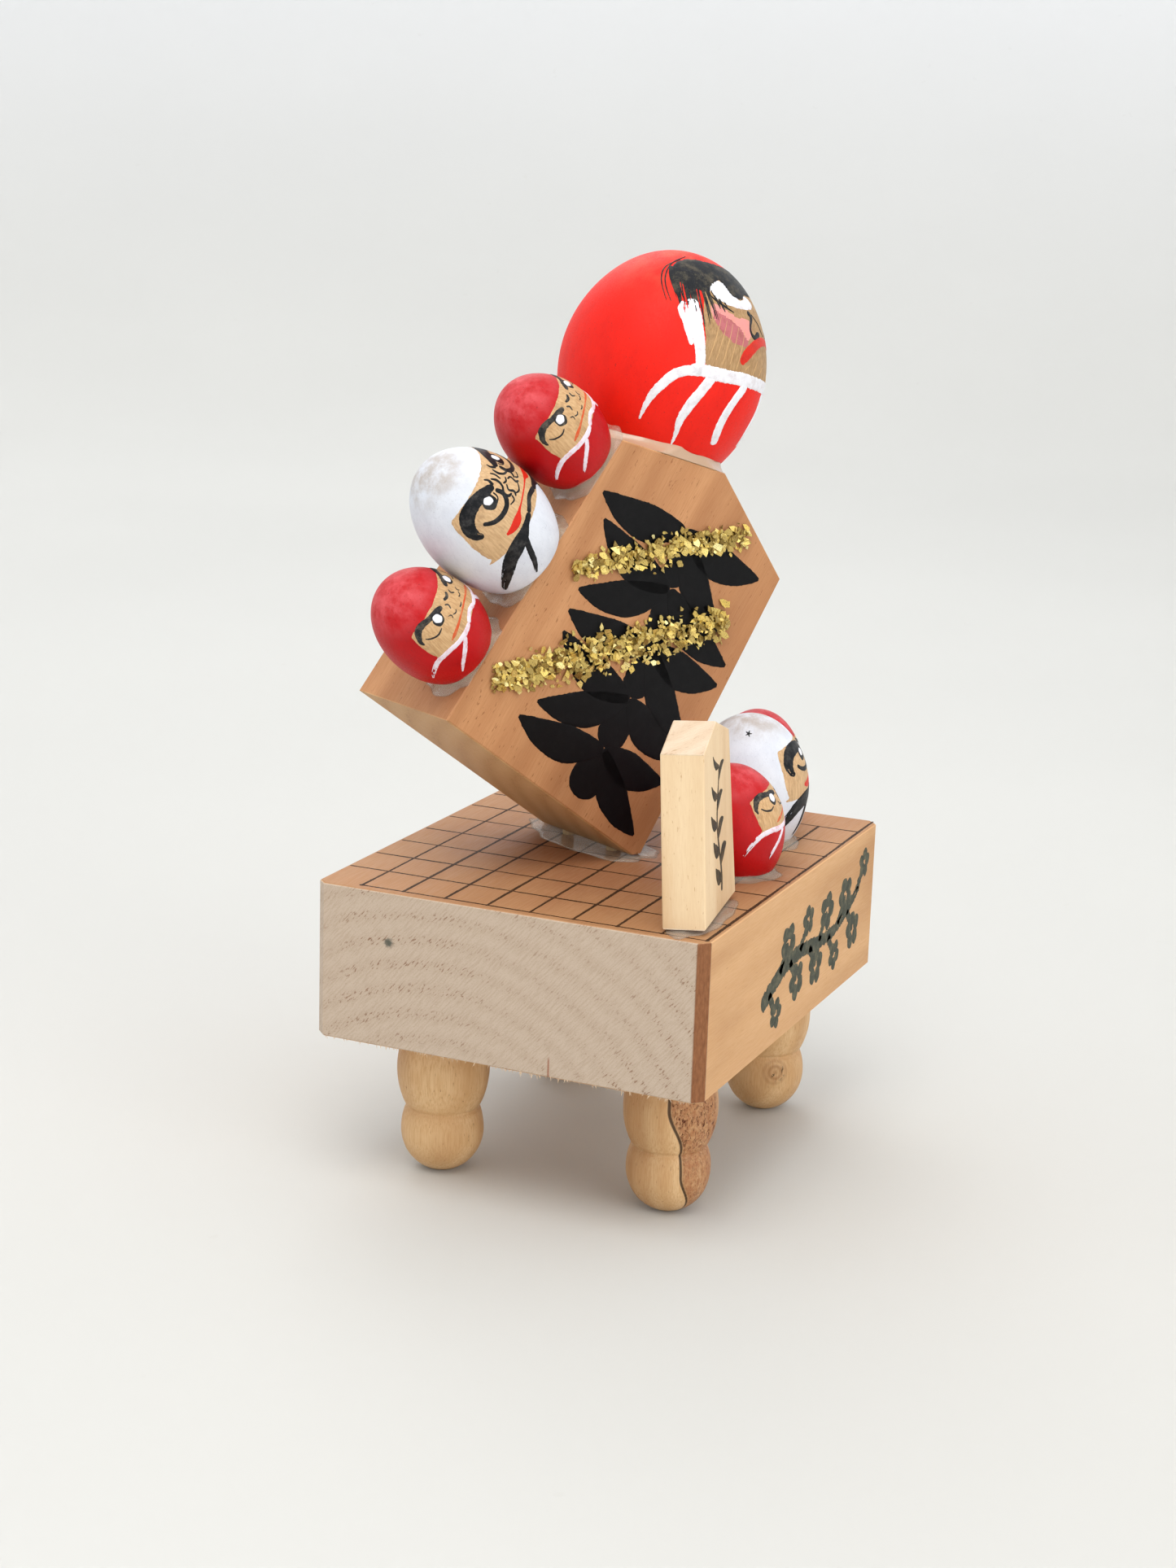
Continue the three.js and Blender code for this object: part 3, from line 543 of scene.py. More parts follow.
def wood(name, place, tones, pith, ring=3.2, end_mask=None, end_tones=None, fleck=0.5, extra=None,
         ring_share=0.55, fibre_share=0.5, rough=(0.5, 0.68), axes=None, bump=0.35, end_rings=0.5):
    """Cut timber: growth rings round a pith line along local z, fibres along z, and ray flecks."""
    g = Graph(name)
    here = g.local(place, axes)
    centred = g.scaled(here, (1, 1, 0.035), (-pith[0], -pith[1], 0))
    rings = g.put(
        "TexWave",
        {"Vector": centred, "Scale": 0.314 / ring, "Distortion": 3.2, "Detail": 3.0, "Detail Scale": 0.35},
        wave_type="RINGS", rings_direction="Z",
    ).outputs["Fac"]
    broad = g.noise(here, (0.06, 0.06, 0.012), 2.0)
    fibre = g.noise(here, (3.2, 3.2, 0.16), 4.0, 0.62)
    dash = g.band(g.noise(here, (2.4, 2.4, 0.55), 2.0, 0.5), 0.66, 0.74)
    dark, middle, light = tones
    colour = g.over(light, middle, rings, ring_share)
    colour = g.over(colour, middle, g.band(fibre, 0.35, 0.75), fibre_share)
    colour = g.over(colour, dark, g.band(broad, 0.4, 0.75), 0.6)
    colour = g.over(colour, dark, dash, fleck)
    height = g.plus(g.times(fibre, 0.7), g.times(dash, -0.5))
    if end_mask is not None:
        mask = end_mask(g, here)
        end, end_height = sawn_end(g, here, rings, end_tones, end_rings)
        colour = g.mix(mask, colour, end)
        height = g.plus(g.times(height, g.minus(1.0, mask)), g.times(end_height, mask))
    if extra is not None:
        colour = extra(g, here, colour)
    rough = g.band(fibre, 0.3, 0.7, rough)
    g.set(Base_Color=colour, Roughness=rough, Specular_IOR_Level=WOOD_SHINE)
    g.bump(height, bump, 0.12)
    return g.material


def board_ends(g, here):
    """The two sawn ends, square to the grain, and the chamfer at the near back corner."""
    across, _, along = g.split(here)
    edge = BOARD_LENGTH / 2
    off = g.math("ABSOLUTE", g.minus(along, edge))
    corner = g.plus(g.minus(BOARD_WIDTH, across), along)
    chamfer = g.band(corner, BOARD_CHAMFER + 0.3, BOARD_CHAMFER + 0.05)
    return g.math("MAXIMUM", g.band(off, edge - 0.3, edge - 0.08), chamfer)


# Middle of the darker spread on the board's top: partly a stain, partly painted shadow round the plaque's
# foot.
STAIN_AND_SHADOW_SPOT = (40.0, 52.0)
END_SPOT = (73.2, BOARD_TOP - 11.2, 0)
END_CRACK, END_CRACK_TOP = 34.8, BOARD_BOTTOM + 5.0


def board_marks(g, here, colour):
    """A darker top face, darker still in a spread round the middle that is partly a stain and partly painted
    shadow; a spot and crack on the near end, and the dark chamfer at the near front corner.
    """
    across, up, along = g.split(here)
    top = g.band(up, BOARD_TOP - 0.25, BOARD_TOP - 0.05)
    far = g.math("ABSOLUTE", g.minus(along, STAIN_AND_SHADOW_SPOT[1]))
    side = g.math("ABSOLUTE", g.minus(across, STAIN_AND_SHADOW_SPOT[0]))
    spread = g.plus(g.plus(far, side), g.times(g.noise(here, 0.14, 3.0), 26.0))
    worn = g.band(spread, 76.0, 30.0)
    # The top face is tinted darker. In the spread round the middle it darkens more, partly a stain and partly
    # painted shadow.
    colour = g.over(colour, tint(164, 116, 78), top, 0.7)
    colour = g.over(colour, tint(140, 84, 54), top, worn, 0.55)
    ragged = g.math("MULTIPLY_ADD", g.noise(here, 1.4, 2.0), 1.6, g.distance(here, END_SPOT))
    colour = g.over(colour, tint(58, 68, 60), g.band(ragged, 2.3, 1.2), 0.85)
    crack = g.band(g.math("ABSOLUTE", g.minus(across, END_CRACK)), 0.32, 0.1)
    low = g.band(up, END_CRACK_TOP, END_CRACK_TOP - 1.4)
    colour = g.over(colour, tint(150, 84, 56), crack, low, g.band(along, 0.4, 0.1), 0.7)
    chamfer = g.band(g.plus(across, along), 2.5, 2.05)
    brown = g.mix(g.noise(here, (2.0, 0.5, 2.0), 3.0), tint(92, 50, 24), tint(168, 112, 72))
    return g.over(colour, brown, chamfer, g.band(up, BOARD_TOP + 1.0, BOARD_TOP - 0.4))


def plaque_ends(shoulder, shoulder_height, tip):
    """The bottom face and the two slanted top facets of a plaque, where the grain is cut across."""
    run = unit([shoulder / 2, tip - shoulder_height])

    def mask(g, here):
        parts = g.split(here)
        across = g.times(g.math("ABSOLUTE", parts[0]), float(run[1]))
        height = g.plus(across, g.times(parts[2], float(run[0])))
        top = tip * float(run[0])
        upper = g.band(height, top - 0.3, top - 0.06)
        lower = g.band(parts[2], 0.3, 0.06)
        return g.math("MAXIMUM", upper, lower)

    return mask


def paint_coat(name, egg, colour, wear_and_sheen_tone, dull, wear_and_sheen=0.5, speck=0.5, rough=0.5, wear_and_sheen_from=0.45):
    """Brushed paint on an egg, with pits and faint brush lines, and a second tone in cloudy patches towards
    the crown: paler on the red coats, a painted highlight, and darker on the white coats, rubbed wear.
    """
    g = Graph(name)
    here = g.local(Place(egg.centre, egg.axes))
    height = g.math("DIVIDE", g.split(here)[2], egg.half)
    cloud = g.noise(here, (0.22, 0.22, 0.12), 4.0, 0.6)
    fine = g.noise(here, 3.2, 3.0, 0.65)
    brush = g.noise(g.scaled(here, (1.0, 1.0, 0.22)), 2.2, 3.0, 0.6)
    pits = g.band(g.noise(here, 2.3, 2.0, 0.7), 0.63, 0.72)
    # Crown tone: on the red coats a paler painted highlight, on the white coats darker rubbed wear.
    crown = g.band(height, wear_and_sheen_from, 1.0)
    worn = g.times(crown, g.band(cloud, 0.32, 0.68))
    grain = g.times(g.band(fine, 0.4, 0.7), 0.25)
    tone = g.over(colour, dull, g.band(cloud, 0.35, 0.8), 0.45)
    tone = g.over(tone, dull, g.band(brush, 0.45, 0.8), 0.25)
    tone = g.mix(g.math("MULTIPLY_ADD", worn, wear_and_sheen, g.times(worn, grain, wear_and_sheen)), tone, wear_and_sheen_tone)
    tone = g.over(tone, g.mix(0.5, dull, (0.02, 0.01, 0.01, 1)), pits, speck)
    rough = g.band(fine, 0.3, 0.75, (rough - 0.08, rough + 0.14))
    g.set(Base_Color=tone, Roughness=rough, Specular_IOR_Level=PAINT_SHINE)
    relief = g.minus(g.math("MULTIPLY_ADD", brush, 0.6, g.times(fine, 0.35)), pits)
    g.bump(relief, 0.3, 0.1)
    return g.material


def thin_paint(name, colour, second, rough=0.5, fade=0.5, scale=1.0):
    """Marks put on with a small brush: one colour that thins towards a second one in patches."""
    g = Graph(name)
    here = g.local(BOARD)
    cloud = g.noise(here, 0.55 * scale, 4.0, 0.65)
    fine = g.noise(here, 6.0 * scale, 2.0, 0.6)
    share = g.times(g.band(g.math("MULTIPLY_ADD", fine, 0.4, cloud), 0.62, 0.95), fade)
    rough = g.band(fine, 0.3, 0.7, (rough - 0.1, rough + 0.12))
    g.set(Base_Color=g.mix(share, colour, second), Roughness=rough, Specular_IOR_Level=MARK_SHINE)
    g.bump(g.math("MULTIPLY_ADD", fine, 0.5, cloud), 0.25, 0.08)
    return g.material


def face_timber(name, egg, light, dark):
    """The bare wood left for a face, grained up the egg, a little grubby."""
    g = Graph(name)
    here = g.local(Place(egg.centre, egg.axes))
    fibre = g.noise(here, (2.6, 2.6, 0.14), 4.0, 0.65)
    cloud = g.noise(here, 0.35, 3.0, 0.6)
    colour = g.mix(g.band(fibre, 0.3, 0.75), light, dark)
    colour = g.over(colour, tint(140, 108, 70), g.band(cloud, 0.5, 0.75), 0.45)
    g.set(Base_Color=colour, Roughness=g.band(fibre, 0.3, 0.7, (0.48, 0.66)))
    g.bump(fibre, 0.3, 0.08)
    return g.material


def glue(name, colour, rough, cover):
    """Hardened glue: wavy, glossy, lightly tinted, partly seen through."""
    g = Graph(name)
    here = g.local(BOARD)
    g.set(Base_Color=colour, Roughness=rough, Alpha=cover, Specular_IOR_Level=GLUE_SHINE)
    g.set(Coat_Weight=0.6, Coat_Roughness=0.05)
    g.bump(g.noise(here, 0.5, 2.0, 0.5), 0.5, 0.4)
    return g.material


def flakes():
    """Metal leaf chips, each a shade of its own."""
    g = Graph("gold_flakes")
    island = g.put("NewGeometry").outputs["Random Per Island"]
    ramp = g.put("ValToRGB", {"Fac": island}).outputs[0]
    stops = ramp.node.color_ramp.elements
    stops[0].color, stops[1].color = tint(134, 108, 46), tint(250, 238, 170)
    for at, colour in ((0.22, tint(180, 154, 84)), (0.55, tint(214, 190, 108)), (0.8, tint(234, 202, 104))):
        stops.new(at).color = colour
    here = g.local(BOARD)
    fine = g.noise(here, 4.0, 3.0, 0.6)
    dirt = g.times(g.band(g.noise(here, 1.1, 3.0, 0.6), 0.55, 0.75), 0.5)
    colour = g.mix(dirt, ramp, tint(110, 90, 46))
    g.set(Base_Color=colour, Roughness=g.band(fine, 0.3, 0.7, (0.22, 0.42)), Metallic=0.6)
    g.bump(fine, 0.4, 0.15)
    return g.material


# ------------------------------------------------------------------ blocks: board and plaques
board_axes = np.array([[0, 0, 1], [1, 0, 0], [0, 1, 0]], float)
board_wood = wood(
    "board_wood", BOARD, (tint(176, 126, 80), tint(203, 154, 106), tint(219, 173, 124)), (62.0, -3.0),
    ring=5.5, end_mask=board_ends, end_tones=(tint(199, 180, 160), tint(174, 150, 127), tint(126, 84, 54)),
    extra=board_marks, axes=board_axes, fleck=0.35, ring_share=0.4, end_rings=0.2,
)
plaque_wood = wood(
    "plaque_wood", PLAQUE, (tint(150, 96, 58), tint(186, 130, 86), tint(204, 150, 104)), (60.0, -70.0),
    ring=6.5, end_mask=plaque_ends(PLAQUE_SHOULDER, PLAQUE_SHOULDER_HEIGHT, PLAQUE_TIP),
    end_tones=(tint(206, 166, 118), tint(186, 140, 92), tint(150, 104, 62)), fleck=0.85, ring_share=0.5,
    fibre_share=0.7,
)
small_wood = wood(
    "small_plaque_wood", SMALL, (tint(192, 146, 98), tint(226, 193, 150), tint(238, 211, 172)), (40.0, 60.0),
    ring=5.0, end_mask=plaque_ends(SMALL_SHOULDER, SMALL_SHOULDER_HEIGHT, SMALL_TIP),
    end_tones=(tint(232, 212, 186), tint(218, 190, 158), tint(190, 152, 112)), fleck=0.7, ring_share=0.3,
)
leg_wood_tones = (tint(158, 106, 60), tint(205, 158, 106), tint(228, 192, 144))

pin_wood = wood("pin_wood", BOARD, (tint(176, 132, 80), tint(210, 176, 124), tint(226, 196, 148)), (3.0, 3.0))


def dress(node, material, flat=True):
    """A CAD node that stays as it is, in a material of its own, with flat faces or shaded as it came."""
    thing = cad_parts[node]
    thing.data.materials.clear()
    thing.data.materials.append(material)
    if flat:
        thing.data.polygons.foreach_set("use_smooth", [False] * len(thing.data.polygons))


dress("board", board_wood)
dress("plaque_large", plaque_wood)
dress("plaque_small", small_wood)
dress("plaque_pin_front", pin_wood, flat=False)
dress("plaque_pin_back", pin_wood, flat=False)


# ------------------------------------------------------------------ legs
def lobe(depth, radius, middle, half):
    u = (depth - middle) / half
    return radius * math.sqrt(max(0.0, 1 - u * u))


def leg_radius(depth):
    """Radius at a depth under the board: two round lobes, the lower one ending in a small flat foot."""
    lower_down = (BOARD_BOTTOM - LEG_LOWER["depth"]) / math.sqrt(
        1 - (LEG_FOOT_RADIUS / LEG_LOWER["radius"]) ** 2
    )
    upper = lobe(depth, LEG_UPPER["radius"], LEG_UPPER["depth"], LEG_UPPER["half"])
    below = LEG_LOWER["up"] if depth < LEG_LOWER["depth"] else lower_down
    lower = lobe(depth, LEG_LOWER["radius"], LEG_LOWER["depth"], below)
    return max(upper, lower)


def leg_waist():
    """Depth of the pinch between the two lobes."""
    depths = np.linspace(LEG_UPPER["depth"], LEG_LOWER["depth"], 400)
    return depths[np.argmin([leg_radius(d) for d in depths])]


def leg(node, grain_turn, crack=False):
    """A turned leg with its tenon, its grain turned round by grain_turn, in radians."""
    low, high = (np.array(c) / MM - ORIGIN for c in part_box(node))
    x, y = (low[:2] + high[:2]) / 2
    rows, columns = 110, 128
    around = np.linspace(0, 2 * math.pi, columns, endpoint=False)
    fall = np.linspace(0, 1, rows)
    depths = BOARD_BOTTOM - (BOARD_BOTTOM - LEG_TENON["gap"]) * fall
    radii = np.array([leg_radius(d) for d in depths])
    tenon = [LEG_TENON["radius"], LEG_TENON["radius"], LEG_TENON["radius"] - LEG_TENON["ease"], 0.0]
    radii = np.concatenate([[0.0], radii, tenon])
    top = BOARD_BOTTOM + LEG_TENON["length"]
    seat = BOARD_BOTTOM - LEG_TENON["gap"]
    heights = np.concatenate([[0.0], BOARD_BOTTOM - depths, [seat, top - LEG_TENON["ease"], top, top]])
    waist = BOARD_BOTTOM - leg_waist()
    groove = LEG_GROOVE["depth"] * np.exp(-(((heights - waist) / LEG_GROOVE["width"]) ** 2))
    round_leg = np.cos(around) * 2.5 + 3 * np.sin(around)
    dent = LEG_DENT * (value_noise(heights[:, None] * 0.25, round_leg, x) - 0.5)
    dent = dent * (heights < seat - 0.5)[:, None] * (heights > 0.6)[:, None]
    radius = np.maximum(radii[:, None] - groove[:, None] * (radii > 6)[:, None] + dent, 0)
    if crack:
        radius = radius - torn(around, heights) * (heights < seat - 0.2)[:, None] * (heights > 0.8)[:, None]
    rise = np.broadcast_to(heights[:, None], radius.shape)
    way = around + grain_turn
    points = np.stack([x + radius * np.cos(way), y + radius * np.sin(way), rise], -1).reshape(-1, 3)
    place = Place([x, y, 0], np.array(Matrix.Rotation(grain_turn, 3, "Z")))
    extra = torn_tint_and_shade if crack else knot_tint if node == "leg_far_front" else None
    material = wood("leg_wood_" + node[4:], place, leg_wood_tones, (4.0, -7.0), ring=4.4, fleck=0.6,
                    ring_share=0.5, fibre_share=0.85, extra=extra, rough=(0.42, 0.6), bump=0.3)
    faces = grid_faces(len(radii), columns, wrap=True)
    piece(node + "_turned", points, faces, material, replaces=[node])


# The split starts at an angle, in radians, and bends twice: each bend turns it over a span of the height.
SPLIT_START = -0.165
SPLIT_WAIST = {"from": 0.76, "span": 0.3, "turn": 0.34}
SPLIT_FOOT = {"from": 0.3, "span": 0.25, "turn": 0.33}


def crack_line(height):
    """Angle, in radians, of the split in the near front leg at a height."""
    share = height / BOARD_BOTTOM
    angle = SPLIT_START
    for bend in (SPLIT_WAIST, SPLIT_FOOT):
        done = np.clip((bend["from"] - share) / bend["span"], 0, 1)
        angle = angle + bend["turn"] * done**2 * (3 - 2 * done)
    return angle


def torn(around, heights):
    """Depth of the split, and of the torn patch beside it."""
    off = (around[None] - crack_line(heights)[:, None] + math.pi) % (2 * math.pi) - math.pi
    ends = np.clip((heights - 2) / 5, 0, 1) * np.clip((BOARD_BOTTOM - 2 - heights) / 5, 0, 1)
    split = 0.6 * np.exp(-((off / 0.03) ** 2))
    patch = np.clip(off / 0.06, 0, 1) * np.clip((1.3 - off) / 0.3, 0, 1)
    rough = 0.25 + 0.5 * value_noise(heights[:, None] * 1.3, off * 26, 4)
    pits = 0.55 * np.clip(value_noise(heights[:, None] * 0.8, off * 13, 8) - 0.62, 0, 1) / 0.38
    band = np.clip((heights - BOARD_BOTTOM * 0.5) / 2, 0, 1)
    return split * ends[:, None] + patch * (0.34 * rough + pits) * ends[:,
                                                                        None] * (0.25 + 0.75 * band[:, None])


def torn_tint_and_shade(g, here, colour):
    """Reddish torn wood beside the split, with painted shade for its hollows and a painted dark line of shade
    in the split.
    """
    x, y, up = g.split(here)
    share = g.math("DIVIDE", up, float(BOARD_BOTTOM))
    bends = []
    for bend, start in ((SPLIT_WAIST, SPLIT_START), (SPLIT_FOOT, 0.0)):
        bends.append(g.band(share, bend["from"], bend["from"] - bend["span"], (start, start + bend["turn"])))
    off = g.minus(g.math("ARCTAN2", y, x), g.plus(*bends))
    beside = g.times(g.band(off, 0.0, 0.08), g.band(off, 1.5, 1.1))
    rough = g.noise(here, 0.9, 4.0, 0.7)
    colour = g.over(colour, tint(164, 102, 64), beside, g.band(rough, 0.25, 0.7, (0.3, 0.85)))
    upper = g.band(share, 0.42, 0.6, (0.4, 1.0))
    torn_grain = g.noise(here, (1.5, 1.5, 0.6), 4.0, 0.7, 1.2)
    # Painted shade: dark patches that stand for the hollows in the torn wood, stronger higher up.
    dark = g.times(beside, g.band(torn_grain, 0.5, 0.62))
    colour = g.over(colour, tint(92, 44, 22), dark, upper)
    # Painted shade: a dark line down the split.
    split = g.band(g.math("ABSOLUTE", off), 0.05, 0.02)
    return g.over(colour, tint(52, 28, 14), split, 0.9)


KNOT = (-8.4, -2.0, 11.5)


def knot_tint(g, here, colour):
    """A small knot with dark dots."""
    off = g.distance(here, KNOT)
    rings = g.math("MULTIPLY_ADD", g.math("SINE", g.times(off, 5.0)), 0.5, 0.5)
    near = g.band(off, 5.0, 0.6)
    colour = g.over(colour, tint(146, 92, 42), near, g.math("MULTIPLY_ADD", rings, 0.35, 0.3))
    dots = g.times(g.band(g.noise(here, 0.9, 2.0), 0.6, 0.68), g.band(off, 3.0, 1.2))
    return g.mix(dots, colour, tint(44, 36, 20))


SPLIT_FACES = math.radians(-156.4)
leg("leg_near_back", 0.9)
leg("leg_near_front", SPLIT_FACES + 0.1, crack=True)
leg("leg_far_front", SPLIT_FACES + math.pi)
leg("leg_far_back", 4.0)

# ------------------------------------------------------------------ eggs
LARGE_ACROSS = 1.8
SLOPE_ACROSS = {"upper": -8.4, "middle": -9.0, "lower": -8.9}
EGGS = {
    "daruma_large": dict(seat=facet(20.9, LARGE_ACROSS), radius=23.1, half=27.1, depth=16.6, glue=1.9,
                         face=-50),
    "daruma_slope_upper": dict(
        seat=flank(65.5, SLOPE_ACROSS["upper"]), radius=10.8, half=15.2, depth=10.0, glue=1.0, face=-61
    ),
    "daruma_slope_middle": dict(
        seat=flank(40.3, SLOPE_ACROSS["middle"]), radius=13.4, half=19.4, depth=12.8, glue=1.0, face=-58
    ),
    "daruma_slope_lower": dict(
        seat=flank(15.4, SLOPE_ACROSS["lower"]), radius=11.2, half=14.9, depth=9.9, glue=1.0, face=-62
    ),
    "daruma_board_near": dict(
        seat=on_board(53.1, 15.4), radius=11.4, half=14.2, depth=9.4, glue=1.0, face=-60, tilt=(-0.117, 0.15)
    ),
    "daruma_board_middle": dict(
        seat=on_board(79.9, 21.9), radius=13.5, half=17.5, depth=11.5, glue=1.0, face=-46, tilt=(-0.08, 0)
    ),
    "daruma_board_far": dict(
        seat=on_board(103.9, 29.2), radius=11.0, half=14.6, depth=9.6, glue=1.0, face=-50
    ),
}
eggs = {name: Egg(name, seed=seed, **size) for seed, (name, size) in enumerate(EGGS.items(), 2)}


def egg_body(egg, material, rows=120, columns=200):
    """The egg's skin, cut flat where its seat is."""
    tilt = np.linspace(0, math.pi, rows)[1:-1]
    around = np.linspace(0, 360, columns, endpoint=False)
    points = egg.point(around[None], np.cos(tilt)[:, None]).reshape(-1, 3)
    poles = egg.point(np.zeros(2), np.array([0.999999, -0.999999]))
    points = np.concatenate([points, poles])
    points = egg.place(points, np.zeros(len(points)))
    local = egg.seat.into(points)
    local[:, 2] = np.maximum(local[:, 2], egg.glue)
    points = egg.seat.out(local)
    faces = [f[::-1] for f in grid_faces(rows - 2, columns, wrap=True)]
    last = (rows - 3) * columns
    top, bottom = len(points) - 2, len(points) - 1
    for c in range(columns):
        d = (c + 1) % columns
        faces.append((top, c, d))
        faces.append((bottom, last + d, last + c))
    piece(egg.name + "_body", points, faces, material, replaces=[egg.name])


VERMILION = tint(236, 26, 4)
CRIMSON = tint(190, 6, 14)
SNOW = tint(226, 230, 238)
INK = tint(20, 22, 26)
ink_marks = thin_paint("ink_marks", INK, tint(84, 82, 80), 0.42, 0.55)
grey_marks = thin_paint("ink_worn", tint(38, 38, 40), tint(108, 100, 88), 0.48, 0.8)
white_marks = thin_paint("line_white", tint(238, 238, 243), tint(200, 188, 190), 0.5, 0.5)
pink_white = thin_paint("line_white_thin", tint(236, 226, 236), tint(214, 150, 160), 0.5, 0.8)
red_marks = thin_paint("line_red", tint(214, 44, 28), tint(178, 40, 26), 0.42, 0.6)
orange_marks = thin_paint("line_orange", tint(208, 84, 44), tint(206, 140, 96), 0.45, 0.8)
pink_marks = thin_paint("line_pink", tint(232, 152, 146), tint(214, 150, 126), 0.5, 0.5)
mauve_marks = thin_paint("line_mauve", tint(190, 110, 114), tint(158, 92, 84), 0.5, 0.8)


def mirror(knots):
    """The same stroke on the other side of the face."""
    return [(-k[0], *k[1:]) for k in knots]


def both(draw, knots, **more):
    """Paint drawn on both sides of the face."""
    draw(knots, **more)
    draw(mirror(knots), **more)


def small_face(egg, robe_look, lid, timber, brow_look, lip_look):
    """The face and robe of a small egg: bare panel, brows, ringed eyes, long mouth, crossed robe."""
    low, wide, top = lid["low"], lid["wide"], lid["top"]
    panel = Paint(egg)
    cheek = [(-wide + 12, low - 0.04), (-wide + 5, low + 0.02), (-wide + 1, low + 0.2),
             (-wide - 1, low + 0.42),
             (-wide - 2, top - 0.1), (-wide + 1, top - 0.06), (-wide + 13, top - 0.03),
             (-wide + 34, top - 0.005),
             (-8, top + 0.005)]
    panel.patch(cheek + mirror(cheek)[::-1], lift=0.04, rag=0.08, seed=egg.seed, steps=5)
    panel.make(egg.name + "_face", timber)

    eye = lid["eye"]
    brow = Paint(egg)
    both(brow.stroke, lid["brow"], lift=0.1, rag=0.12, dry=(0.0, lid["dry"]), seed=egg.seed)
    for side in (-1, 1):
        brow.dab(side * eye[0], eye[1], lid["iris"], lift=0.12, seed=egg.seed + side)
    for knots in lid["lids"]:
        both(brow.stroke, knots, lift=0.09, rag=0.06, seed=egg.seed + 1)
    for knots in lid["nose"]:
        brow.stroke(knots, lift=0.09, rag=0.06, seed=egg.seed + 2)
    brow.make(egg.name + "_brows", brow_look)

    glint = Paint(egg)
    for side in (-1, 1):
        glint.dab(side * eye[0], eye[1] + 0.012, lid["white"], lift=0.26, long=1.08, seed=2 * egg.seed + side)
    glint.make(egg.name + "_eye_lights", white_marks)

    lips = Paint(egg)
    mouth = lid["mouth"]
    lips.stroke(mouth + mirror(mouth)[-2::-1], lift=0.09, rag=0.07, seed=egg.seed, blunt=(False, False))
    lips.make(egg.name + "_mouth", lip_look)

    robe = Paint(egg)
    for knots in lid["robe"]:
        both(robe.stroke, knots, lift=0.13, rag=0.1, dry=(0.0, 0.62), blunt=(True, False), seed=egg.seed)
    collar = lid["robe"][0][0]
    robe.stroke([(collar[0] - 1, collar[1], collar[2]), (0, collar[1] + 0.06, collar[2] * 0.95),
                 (-collar[0] + 1, collar[1], collar[2])], lift=0.12, rag=0.08, dry=(0.2, 0.2),
                 seed=egg.seed + 7)
    robe.make(egg.name + "_robe_lines", robe_look)


white_lid = {
    "low": 0.03, "wide": 76, "top": 0.70, "eye": (31, 0.515), "iris": 1.9, "white": 1.05, "dry": 0.35,
    "brow": [(-13, 0.545, 1.1), (-20, 0.58, 2.0), (-31, 0.615, 2.7), (-47, 0.62, 3.2), (-60, 0.575, 3.4),
             (-66, 0.47, 3.1), (-65, 0.38, 2.3), (-60, 0.31, 0.9)],
    "lids": [
        [(-16, 0.52, 1.2), (-15, 0.42, 1.25), (-22, 0.34, 1.3), (-33, 0.32, 1.3), (-44, 0.35, 1.15),
         (-53, 0.42, 0.9)],
        [(-31, 0.43, 0.4), (-22, 0.46, 0.4), (-20, 0.53, 0.4)],
        [(-12, 0.66, 0.4), (-10, 0.61, 0.7), (-13, 0.55, 1.1)],
        [(-7, 0.6, 0.5), (-5, 0.53, 0.8), (-8, 0.46, 0.6), (-14, 0.42, 0.7), (-14, 0.36, 0.8),
         (-9, 0.33, 0.5)],
        [(-3, 0.42, 0.5), (-8, 0.38, 0.6), (-6, 0.31, 0.7), (-10, 0.27, 0.4)],
        [(-21, 0.3, 0.35), (-14, 0.28, 0.5), (-11, 0.33, 0.5)],
    ],
    "nose": [
        [(0, 0.62, 0.4), (1, 0.56, 0.6), (-1, 0.49, 0.5)],
        [(-5, 0.46, 0.45), (0, 0.43, 0.6), (5, 0.45, 0.45)],
        [(-7, 0.29, 0.4), (-2, 0.255, 0.55), (3, 0.27, 0.5), (8, 0.3, 0.4)],
    ],
    "mouth": [(-45, 0.14, 0.5), (-35, 0.125, 2.0), (-27, 0.14, 2.1), (-20, 0.17, 0.9), (-12, 0.185, 0.4),
              (0, 0.195, 0.4)],
    "robe": [
        [(-14, 0.04, 1.4), (-25, 0.01, 1.8), (-34, -0.03, 3.0), (-45, -0.06, 3.8), (-58, -0.12, 3.5),
         (-70, -0.24, 2.8), (-82, -0.38, 1.9), (-91, -0.5, 0.7)],
        [(-35, -0.06, 1.7), (-40, -0.22, 1.5), (-45, -0.4, 1.3), (-52, -0.56, 0.5)],
    ],
}
